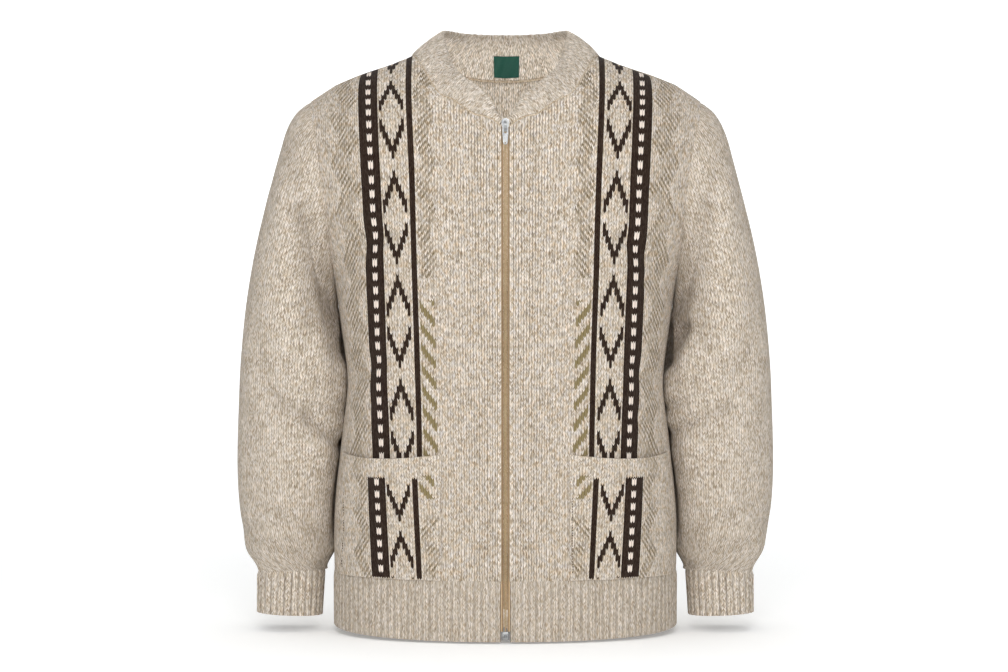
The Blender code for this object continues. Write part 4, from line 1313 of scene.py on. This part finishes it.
def collar_middle(stations, shares):
    """Middle surface of the band, from the seam (share 0) up to the fold (share 1), bulging between."""
    seam = collar_seam(stations)
    ridge = np.stack([through(COLLAR_STATIONS, column, stations) for column in (2, 3, 4)], axis=-1)
    rise = ridge - seam
    seam = seam + rise / np.linalg.norm(rise, axis=-1, keepdims=True) * COLLAR_LIFT
    points = seam + (ridge - seam) * shares[:, None, None]
    bulge = COLLAR_BULGE * 4 * shares * (1 - shares) + KNIT_WALL / 2
    return points + grid_normals(points, NECK_CENTRE) * bulge[:, None, None]


half = collar_middle(np.linspace(0, COLLAR_BACK, 420), np.linspace(0, 1, 18))
middle = both_sides(half[:, ::-1])[:, ::-1]
print("neckband:", round(1000 * lengths(middle, 1)[0, -1]), "mm round the neckline")

# %% [markdown]
# ## A folded band
#
# The band's section is one closed loop: up the outside, over the fold in a half circle, down the inside
# and back across. The loop is carried round the neck from one zip edge to the other and closed at both
# ends, with the ribs running across it. Solidify alone would leave a flat upper edge, where a folded
# band has a round one.

# %% Neckband
COLLAR_PITCH = 0.0088
COLLAR_RIB = 0.0005
FOLD_FLATTENED = 0.9

normals = grid_normals(middle, NECK_CENTRE)
along = lengths(middle, 1)
ribs = rib_wave(along, COLLAR_PITCH, COLLAR_RIB) + 0.0005 * np.sin(along * 37)
half_wall = (COLLAR_WALL / 2 + ribs)[..., None]
outer = middle + normals * half_wall
inner = middle - normals * half_wall
rise = middle[-1] - middle[-2]
rise /= np.linalg.norm(rise, axis=-1, keepdims=True)
arc = np.radians(np.linspace(20, 160, 8))[:, None, None]
fold = middle[-1] + half_wall[-1] * (np.cos(arc) * normals[-1] + FOLD_FLATTENED * np.sin(arc) * rise)
section = np.concatenate([outer, fold, inner[::-1]], axis=0)

loop = np.swapaxes(section, 0, 1)
columns, rows = loop.shape[:2]
faces = quads(columns, rows, ring=True)
depth = lengths(closed(loop), 1) / COURSE
run = np.repeat(along.mean(axis=0)[:, None] / (COLLAR_PITCH / WALES_A_RIB) + 1.0, rows + 1, axis=1)
uv = np.stack([run, depth], axis=-1).reshape(-1, 2)[quads(columns, rows + 1)]
first_end = list(range(rows))
last_end = list(range((columns - 1) * rows, columns * rows))
if looks_out(loop, faces, loop.mean(axis=1, keepdims=True)):
    ends = [first_end[::-1], last_end]
else:
    faces, uv = faces[:, ::-1], uv[:, ::-1]
    ends = [first_end, last_end[::-1]]
uv = np.concatenate([uv.reshape(-1, 2), np.zeros((2 * rows, 2))])
collar = new_piece("neckband_rib", loop, faces.tolist() + ends, neck_knit, uv)

# shade is painted on the inside just below the fold, and light on its foot, which the neck's own light
# reaches
hollow = np.zeros((columns, rows))
over = slice(len(outer), len(outer) + len(fold))
hollow[:, over] = np.linspace(0, 0.20, len(fold))
hollow[:, over.stop:] = np.interp(np.arange(len(inner)), (0, 2, 5), (0.20, 0.0, -0.32))
mark_hollow(collar, hollow)
declare(collar, "collar")

# %% [markdown]
# ## Patch pockets
#
# Each pocket is a second layer of the same knit, linked to the front along its sides and foot, with a
# mouth that sags open a little. A Shrinkwrap modifier could lay a flat piece on the front. Here the pocket
# takes the front's own formula, folds and all, and is moved out by one wall of cloth, so the two layers
# lie together exactly, as they do on a body.

# %% Pockets
POCKET_INNER = 0.0730
POCKET_OUTER = 0.1870
POCKET_FOOT = -0.6100
POCKET_MOUTH = -0.4670
POCKET_WIDE = POCKET_OUTER - POCKET_INNER
POCKET_TALL = POCKET_MOUTH - POCKET_FOOT
POCKET_SAG = 0.0060
POCKET_LAY = 0.0008
POCKET_GAPE = 0.0028
POCKET_PILLOW = 0.0011
POCKET_ROLL = 0.0009
POCKET_COURSE = 0.00176


def pocket_base(hand, across, up):
    """The front's surface under a pocket, folds and all, and its normals, for shares across and up."""
    mouth = POCKET_MOUTH - POCKET_SAG * 4 * across * (1 - across)
    heights = POCKET_FOOT + (mouth - POCKET_FOOT) * up
    inner = turn(np.full_like(heights, POCKET_INNER), heights)
    outer = turn(np.full_like(heights, POCKET_OUTER), heights)
    base = body_point(inner + (outer - inner) * across, heights, -1)
    relief = body_relief(hand * base[..., 0], base[..., 2], -1)
    normals = grid_normals(base, body_axis(base))
    return base, normals, relief


for name, hand in HANDS:
    across = np.linspace(0, 1, 78)
    up = np.linspace(0, 1, 96)[:, None]
    base, normals, relief = pocket_base(hand, across, up)
    to_edge = np.minimum(np.minimum(across, 1 - across) * POCKET_WIDE, up * POCKET_TALL)
    pillow = POCKET_PILLOW * (1 - np.exp(-to_edge / 0.006)) - 0.0004
    rolled = POCKET_ROLL * np.exp(-(((1 - up) * POCKET_TALL / 0.003) ** 2))
    gape = POCKET_GAPE * np.sin(math.pi * across) * up ** 2
    lift = KNIT_WALL + POCKET_LAY + gape + relief + pillow + rolled
    base = base + normals * lift[..., None]
    v = (base[..., 2] - POCKET_FOOT) / POCKET_COURSE
    stitches = np.stack([wales_across(base, POCKET_LINES), v], axis=-1)
    base[..., 0] *= hand
    pocket = cloth("pocket_cloth_" + name, base, body_axis(base), stitches, KNIT_WALL, pocket_knit)
    declare(pocket, "pocket_" + name)

# %% [markdown]
# ## Neck label
#
# The label is a small folded piece of satin, stitched down at its top and foot, so it bows a little
# between the rows of stitches. Satin weave has long floats that lie side by side, which give the green a
# soft sheen across them. It is bare, and lies on the neckband's middle surface, moved in by half a wall.

# %% Label
LABEL_HALF_WIDTH = 0.0162
LABEL_SHIFT = 0.0015
LABEL_LOW = 0.08
LABEL_HIGH = 0.55
LABEL_LAY = 0.0006
LABEL_WALL = 0.0010
LABEL_ROWS = 26
MILLIMETRE = 0.001


def satin_material():
    """Satin weave in bottle green: u and v are millimetres, floats run across, threads drawn at 0.5 mm."""
    material, tree = new_material("green_satin_weave", Roughness=0.55, IOR=1.5,
                                  Specular_IOR_Level=0.25)
    place = add(tree, "UVMap", uv_map="stitches")
    v = add(tree, "SeparateXYZ", [place], output=1)
    float_line = add(tree, "Math", [v, math.pi / 0.5], operation="MULTIPLY")
    float_line = add(tree, "Math", [float_line], operation="SINE")
    slub = add(tree, "VectorMath", [place, (0.25, 2.2, 1.0)], operation="MULTIPLY")
    slub = add(tree, "TexNoise", {"Vector": slub, "Scale": 1.0, "Detail": 3.0})
    colour = add(tree, "ValToRGB", [slub], stops=((0.3, "#154639"), (0.75, "#205547")))
    bump = add(tree, "Bump", {"Strength": 0.35, "Distance": 0.00015, "Height": float_line})
    return finished(material, Base_Color=colour, Normal=bump)


green_satin = satin_material()
reach = LABEL_HALF_WIDTH / COLLAR_STATIONS[-2][1]
stations = COLLAR_BACK - reach * np.linspace(0, 1, 15)
half = collar_middle(stations[::-1], np.linspace(LABEL_LOW, LABEL_HIGH, LABEL_ROWS))
half[..., 0] *= LABEL_HALF_WIDTH / half[:, :1, 0]
points = both_sides(half[:, ::-1])[:, ::-1]
down = np.linspace(0, 1, LABEL_ROWS)[:, None]
side = np.linspace(-1, 1, 29)
pucker = 0.0005 * np.sin(math.pi * down) * (1 + 0.5 * side) + 0.0002 * np.sin(9 * side + 5 * down)
lay = COLLAR_WALL / 2 + COLLAR_RIB * 0.5 + LABEL_LAY + pucker
points -= grid_normals(points, NECK_CENTRE) * lay[..., None]
points[..., 0] += LABEL_SHIFT
stitches = np.stack([lengths(points, 1), lengths(points, 0)], axis=-1) / MILLIMETRE
label = cloth("label_satin", points, NECK_CENTRE, stitches, LABEL_WALL, green_satin, offset=-1.0)
declare(label, "neck_label")

# %% [markdown]
# ## Zip tapes
#
# A zip is made as it is on the roll: two tapes, each with half of the coil. The tape is dyed polyester,
# woven in herringbone so tightly that it has a soft shine across its threads. It is sewn behind the
# front's edge, follows the front's own curve, and ripples a little between the stitches.

# %% Zip tapes
TAPE_INNER = 0.0025
TAPE_OUTER = 0.0125
TAPE_LAY = 0.0007
TAPE_WALL = 0.0010
TAPE_RIPPLE = 0.0003
ZIP_TOP = -0.0905
ZIP_FOOT = -0.6690
BEHIND = np.array([0.0, 0.1, 0.0])


def tape_material():
    """Woven tape: u is millimetres from the zip's middle, v millimetres down; a dark line runs beside
    the coil. The real threads are 0.3 mm apart; they are drawn at 0.6 mm so that they show."""
    material, tree = new_material("woven_polyester_tape", Roughness=0.62, IOR=1.54, Sheen_Weight=0.15)
    place = add(tree, "UVMap", uv_map="stitches")
    u = add(tree, "SeparateXYZ", [place], output=0)
    v = add(tree, "SeparateXYZ", [place], output=1)
    slant = add(tree, "Math", [u, v], operation="ADD")
    twill = add(tree, "Math", [slant, math.pi / 0.6], operation="MULTIPLY")
    twill = add(tree, "Math", [twill], operation="SINE")
    fade = add(tree, "TexNoise", {"Vector": place, "Scale": 0.35, "Detail": 3.0})
    tan = add(tree, "ValToRGB", [fade], stops=((0.3, "#C9AB84"), (0.75, "#D9BE9A")))
    line = add(tree, "Math", [u, 3.25, 0.5], operation="COMPARE")
    colour = add(tree, "Mix", {0: line, 6: tan, 7: linear("#8A6C48")}, 2, data_type="RGBA")
    tone = add(tree, "Math", [twill, 0.06, 0.94], operation="MULTIPLY_ADD")
    colour = add(tree, "Mix", {0: 1.0, 6: colour, 7: tone}, 2, data_type="RGBA", blend_type="MULTIPLY")
    bump = add(tree, "Bump", {"Strength": 0.5, "Distance": 0.0002, "Height": twill})
    return finished(material, Base_Color=colour, Normal=bump)


def zip_line(heights):
    """y of the front's middle line."""
    return body_point(np.zeros_like(heights), heights, FRONT)[..., 1]


tape_cloth = tape_material()
for name, hand in HANDS:
    heights = np.linspace(ZIP_TOP, ZIP_FOOT, 150)[:, None]
    across = np.linspace(TAPE_INNER, TAPE_OUTER, 9)
    ripple = 0.00025 * np.sin(heights * 190 + hand) * (across - TAPE_INNER) / 0.003
    ripple = np.clip(ripple, -TAPE_RIPPLE, TAPE_RIPPLE)
    points = grid(across, zip_line(heights) + TAPE_LAY + ripple, heights)
    stitches = np.stack([points[..., 0], -points[..., 2]], axis=-1) / MILLIMETRE
    points[..., 0] *= hand
    tape = cloth("zip_tape_weave_" + name, points, points + BEHIND, stitches, TAPE_WALL, tape_cloth,
                 offset=-1.0)
    declare(tape, "zip_tape_" + name)

# %% [markdown]
# ## A cord swept along a path
#
# Coils, pins and seams are all round cords on different paths. One function carries a circle along a path,
# square to its direction, and another joins several such cords into one mesh. A curve object with a bevel
# would do the same, but it would have to be turned into a mesh in the end.

# %% Swept cords
UPWARDS = np.array([0.0, 0.0, 1.0])
TO_BACK = np.array([0.0, 1.0, 0.0])


def sweep(path, outward, radius, sides):
    """A circle of the given radius carried along a path: across is tangent x outward, and lift is
    across x tangent. Its ends are closed."""
    tangent = np.gradient(path, axis=0)
    across = np.cross(tangent, outward)
    across /= np.linalg.norm(across, axis=-1, keepdims=True)
    lift = np.cross(across, tangent)
    lift /= np.linalg.norm(lift, axis=-1, keepdims=True)
    angle = 2 * math.pi * np.arange(sides) / sides
    rim = np.cos(angle)[None, :, None] * across[:, None] + np.sin(angle)[None, :, None] * lift[:, None]
    points = path[:, None] + rim * radius
    faces = quads(len(path), sides, ring=True)[:, ::-1]
    ends = [list(range(sides)), list(range(len(path) * sides))[:-sides - 1:-1]]
    return points.reshape(-1, 3), faces.tolist() + ends


def joined(name, parts, material):
    """Several swept cords as one mesh, riding on the garment."""
    vertices, faces, start = [], [], 0
    for points, part_faces in parts:
        vertices.append(points)
        faces += [[start + corner for corner in face] for face in part_faces]
        start += len(points)
    piece = new_piece(name, np.concatenate(vertices), faces, material)
    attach(piece, "garment")
    print(f"{name}: {len(parts)} lengths, {len(faces)} faces")
    return piece


trial = sweep(grid(0.0, 0.0, np.linspace(0, 1, 100)), TO_BACK, 0.1, 6)
print("a cord of 100 points and 6 sides has", len(trial[1]), "faces")

# %% [markdown]
# ## Coil
#
# Each half of the coil is nylon wire wound as a helix, x = a cos t, y = b sin t, z = pitch t / 2 pi, and
# its turns mesh with its neighbour's. Nylon is translucent and waxy, so it lets in a little light.

# %% Coil
CHAIN_TOP = -0.0925
COIL_PITCH = 0.0015
COIL_REACH = 0.00125
COIL_DEPTH = 0.00075
COIL_OUT = 0.00105
WIRE = 0.00033
STEPS_A_TURN = 8


def coil_material():
    """Nylon monofilament, dyed tan: smooth with a little light let through, uneven dye along it."""
    material, tree = new_material("nylon_monofilament", Roughness=0.38, IOR=1.53,
                                  Subsurface_Weight=0.08, Subsurface_Scale=0.001)
    place = add(tree, "TexCoord", output=3)
    dye = add(tree, "TexNoise", {"Vector": place, "Scale": 260.0, "Detail": 2.0})
    colour = add(tree, "ValToRGB", [dye], stops=((0.3, "#BFA47E"), (0.7, "#D2BB96")))
    return finished(material, Base_Color=colour)


coil_nylon = coil_material()
turns = (CHAIN_TOP - ZIP_FOOT) / COIL_PITCH
t = np.linspace(0, turns, int(turns) * STEPS_A_TURN)
parts = []
for name, hand in HANDS:
    phase = 2 * math.pi * t + (0 if hand > 0 else math.pi)
    z = CHAIN_TOP - t * COIL_PITCH
    x = hand * (COIL_OUT - COIL_REACH * np.cos(phase))
    y = zip_line(z) + TAPE_LAY + TAPE_WALL / 2 - COIL_DEPTH * np.sin(phase)
    parts.append(sweep(np.stack([x, y, z], axis=-1), UPWARDS, WIRE, 5))
coils = joined("zip_coil_turns", parts, coil_nylon)
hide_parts("zip_chain")
print("coils:", int(turns), "turns a side")

# %% [markdown]
# ## Metal parts
#
# The slider, the pull and the bottom box are die-cast zinc with nickel plating: a bright metal, roughened
# by tumbling. The slider and the pull keep their own solids, because their holes and bridge are already
# exact. The box is made anew as a cast plate with a rivet's dimple, and above it stand the two pins that
# guide the halves together.

# %% Box, pins and slider
BOX_HALF = 0.0043
BOX_TALL = 0.0046
BOX_MIDDLE = -0.6739
BOX_FRONT = -0.1344
BOX_WALL = 0.0030
DIMPLE_LOW = 0.0006
DIMPLE_DEEP = 0.0010
DIMPLE_RIM = 0.0004
PIN_RADIUS = 0.0008


def nickel_material():
    """Tumbled nickel plate: metallic, faint scuffs that change the roughness, and slight tarnish."""
    material, tree = new_material("nickel_plated_zinc", Metallic=1.0)
    place = add(tree, "TexCoord", output=3)
    grain = add(tree, "TexNoise", {"Vector": place, "Scale": 900.0, "Detail": 4.0, "Roughness": 0.6})
    cloudy = add(tree, "TexNoise", {"Vector": place, "Scale": 160.0, "Detail": 2.0})
    colour = add(tree, "ValToRGB", [cloudy], stops=((0.3, "#85878A"), (0.7, "#A9AAA9")))
    rough = add(tree, "Math", [grain, 0.22, 0.20], operation="MULTIPLY_ADD")
    bump = add(tree, "Bump", {"Strength": 0.12, "Distance": 0.0001, "Height": grain})
    return finished(material, Base_Color=colour, Roughness=rough, Normal=bump)


nickel = nickel_material()
across = np.linspace(-1, 1, 40)
down = np.linspace(-1, 1, 40)[:, None]
x = BOX_HALF * across
z = BOX_MIDDLE - BOX_TALL * down
from_dimple = np.hypot(x, z - BOX_MIDDLE + DIMPLE_LOW)
dimple = DIMPLE_DEEP * np.exp(-((from_dimple / 0.0013) ** 4))
rim = DIMPLE_RIM * np.exp(-(((from_dimple - 0.0019) / 0.0005) ** 2))
edges = 0.0009 * (np.abs(across) ** 8 + np.abs(down) ** 8) + dimple - rim
points = grid(x, BOX_FRONT + edges, z)
box = cloth("zip_box_cast", points, points + BEHIND, points[..., (0, 2)] / MILLIMETRE, BOX_WALL, nickel,
            offset=-1.0)
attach(box, "garment")
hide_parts("zip_box")

drop = np.linspace(0, 1, 12)[:, None]
parts = []
for x, tall in ((-0.0016, 0.0052), (0.0015, 0.0040)):
    start = np.array([x, BOX_FRONT + 0.0012, BOX_MIDDLE + BOX_TALL + tall])
    parts.append(sweep(start - drop * (tall + 0.001) * UPWARDS, TO_BACK, PIN_RADIUS, 10))
joined("zip_box_pins", parts, nickel)

for name in ("zip_slider", "zip_pull"):
    metal = frame["nodes"][name]
    for place in metal.material_slots:
        place.material = nickel
print("metal: the slider and the pull keep their own solids")

# %% [markdown]
# ## Linking seams
#
# Knitted panels are linked, not overlocked: a chain of yarn runs along each join. It shows as a fine cord
# that dips between the two edges. A row of modelled stitches would be lost at this size, so the seams at
# the neck and on the shoulders are each one thin tube along the join, which wavers by a tenth of a
# millimetre or so, as stitches do. Behind the neck, where the seam shows on the inside, a thicker cord
# stands for the binding over it.

# %% Seams
def thread_material(name, dark, pale):
    """Sewing or linking yarn: matt, with a twist of a paler strand every 1.5 mm."""
    material, tree = new_material(name, Roughness=0.9, Sheen_Weight=0.1)
    place = add(tree, "TexCoord", output=3)
    twist = add(tree, "TexNoise", {"Vector": place, "Scale": 700.0, "Detail": 1.0})
    colour = add(tree, "ValToRGB", [twist], stops=((0.35, dark), (0.7, pale)))
    return finished(material, Base_Color=colour)


def mirrored(path):
    """A path on the other side of the body, run the other way."""
    return path[::-1] * MIRROR


def waver(path, amount, pace=900.0):
    """Moves a path by small sines of its own length, so that it reads as separate stitches."""
    run = lengths(path[:, None], 0)
    waves = [np.sin(pace * run), np.cos(0.7 * pace * run), np.sin(0.4 * pace * run)]
    return path + amount * np.concatenate(waves, axis=-1)


yarn = thread_material("fawn_linking_yarn", "#9A8468", "#D9CBB6")
stations = np.linspace(0, COLLAR_BACK, 380)
base = collar_middle(stations, np.linspace(0, 1, 12))
neck_out = grid_normals(base, NECK_CENTRE)[0]
seam = base[0] + neck_out * COLLAR_WALL * 0.5
seam[:, 2] -= 0.0012
behind = stations > COLLAR_SIDE - 0.5
binding = base[0][behind] - neck_out[behind] * (COLLAR_WALL * 0.5 + 0.0004)
binding[:, 2] -= 0.0004
across = np.linspace(NECK_POINT + 0.001, ARMHOLE[-1][1] - 0.001, 120)
ridge = grid(across, 0.0, straight(SHOULDER_RIDGE, 1, across) + 0.0012)
cords = (
    # path, outward, waver, radius, sides: the neck seam, its binding and the shoulder seam
    (seam, neck_out, 0.0002, 0.0009, 6),
    (binding, -neck_out[behind], 0.0003, 0.0016, 8),
    (ridge, np.broadcast_to(TO_BACK, ridge.shape), 0.0002, 0.0010, 6),
)
parts = []
for path, outward, amount, radius, sides in cords:
    parts.append(sweep(waver(path, amount), outward, radius, sides))
    parts.append(sweep(waver(mirrored(path), amount), mirrored(outward), radius, sides))
joined("linking_seams", parts, yarn)

# %% [markdown]
# ## Pocket tacks
#
# Each pocket is tacked down along one side with brown thread, in short uneven stitches. Each stitch is its
# own short cord, laid along the pocket's edge.

# %% Pocket tacks
TACKS = 29
TACK_STEP = 8
TACK_RADIUS = 0.0005

brown_thread = thread_material("brown_sewing_thread", "#3A2A1E", "#5C4735")
parts = []
for hand, across in ((-1, 0.985), (1, 0.015)):
    up = np.linspace(0.06, 0.66, TACKS * TACK_STEP)[:, None]
    base, normals, relief = pocket_base(hand, across + np.array([0.0, 0.01]), up)
    lift = 2 * KNIT_WALL + POCKET_LAY + relief - 0.0002
    line = (base + normals * lift[..., None])[:, 0]
    line[:, 0] += 0.0004 * np.sin(np.arange(len(line)) * 0.11)
    line[:, 0] *= hand
    for k in range(TACKS):
        piece = line[TACK_STEP * k:TACK_STEP * k + 5 + k % 3]
        parts.append(sweep(piece, normals[0, 0] * np.array([hand, 1.0, 1.0]), TACK_RADIUS, 6))
joined("pocket_tacks", parts, brown_thread)

# %% [markdown]
# ## Floor and backdrop
#
# A paper sweep, one sheet that runs from under the sweater up behind it, gives a pale ground with no
# horizon. White paper that is lit as softly as the sweater would still look grey, so it glows faintly,
# and more towards the wall.

# %% Stage
FLOOR = -0.6828
FLOOR_START = -3.4
SWEEP_RADIUS = 0.9
WALL_AT = 4.8
WALL_HEIGHT = 4.5
HALF_WIDTH = 5.0
FLOOR_GLOW = 0.22
WALL_GLOW = 0.42
WHITE = (1.0, 1.0, 1.0, 1.0)

angle = np.linspace(0, math.pi / 2, 24)[1:]
bend_at = WALL_AT - SWEEP_RADIUS
flat = np.concatenate([[FLOOR_START], np.linspace(FLOOR_START + 1.0, bend_at, 8)])
run = np.concatenate([flat, bend_at + SWEEP_RADIUS * np.sin(angle), [WALL_AT]])
rise = np.concatenate([0 * flat, SWEEP_RADIUS * (1 - np.cos(angle)), [WALL_HEIGHT]])
wide = np.linspace(-HALF_WIDTH, HALF_WIDTH, 9)
paper = grid(wide[None, :], run[:, None], FLOOR + rise[:, None])
material, tree = new_material("matt_white_paper", Roughness=0.95, Emission_Color=WHITE)
place = add(tree, "TexCoord", output=3)
pulp = add(tree, "TexNoise", {"Vector": place, "Scale": 3.0, "Detail": 2.0})
shade = add(tree, "ValToRGB", [pulp], stops=((0.3, "#F4F5F5"), (0.7, "#F6F7F7")))
behind = add(tree, "SeparateXYZ", [place], output=1)
glow = add(tree, "MapRange", [behind, 0.6, 2.8, FLOOR_GLOW, WALL_GLOW])
finished(material, Base_Color=shade, Emission_Strength=glow)
backdrop = new_piece("paper_sweep", paper, quads(*paper.shape[:2])[:, ::-1], material)
print("paper sweep:", 2 * HALF_WIDTH, "m wide, wall", WALL_AT, "m behind")

# %% [markdown]
# ## Light
#
# Matt wool shows its texture by small shadows alone, so the light is soft: three wide lamps in front, a
# larger one high above, and a bright surround that keeps the shadows faint. A small dim lamp inside the
# neck stands for the light that a real neckband gathers from the room.

# %% Lamps
world = bpy.data.worlds.new("studio")
bpy.context.scene.world = world
world.use_nodes = True
surround = world.node_tree.nodes["Background"].inputs
surround["Color"].default_value = WHITE
surround["Strength"].default_value = 0.34


def lamp(name, place, aim, size, power):
    """A square soft lamp at a place, turned to face its aim."""
    light = bpy.data.lights.new(name, "AREA")
    light.size = size
    light.energy = power
    body = bpy.data.objects.new(name, light)
    body.location = place
    body.rotation_euler = (Vector(aim) - Vector(place)).to_track_quat("-Z", "Y").to_euler()
    bpy.context.scene.collection.objects.link(body)


MIDDLE = (0.0, 0.0, -0.32)
lamp("front_soft", (0.0, -3.1, 1.05), MIDDLE, 1.1, 46.0)
lamp("fill_left", (-1.5, -3.0, -0.3), MIDDLE, 0.9, 20.0)
lamp("fill_right", (1.5, -3.0, -0.3), MIDDLE, 0.9, 20.0)
lamp("top_soft", (0.0, 0.15, 4.6), MIDDLE, 4.2, 100.0)
lamp("neck_fill", (0.0, -0.060, -0.175), (0.0, 0.07, -0.03), 0.08, 0.23)
bpy.context.scene.view_settings.view_transform = "Standard"

# %% [markdown]
# ## Camera
#
# A long lens from nearly three metres away, level with the chest, shows the sweater with little
# perspective, as a catalogue does.

# %% Camera
CAMERA_PLACE = (-0.0016, -2.8, -0.331)
camera_data = bpy.data.cameras.new("camera")
camera_data.lens = 83.33
camera_data.sensor_width = 36.0
camera = bpy.data.objects.new("camera", camera_data)
camera.location = CAMERA_PLACE
camera.rotation_euler = (math.pi / 2, 0.0, 0.0)
bpy.context.scene.collection.objects.link(camera)
bpy.context.scene.camera = camera
print("camera:", round(camera_data.lens, 2), "mm lens at", CAMERA_PLACE)
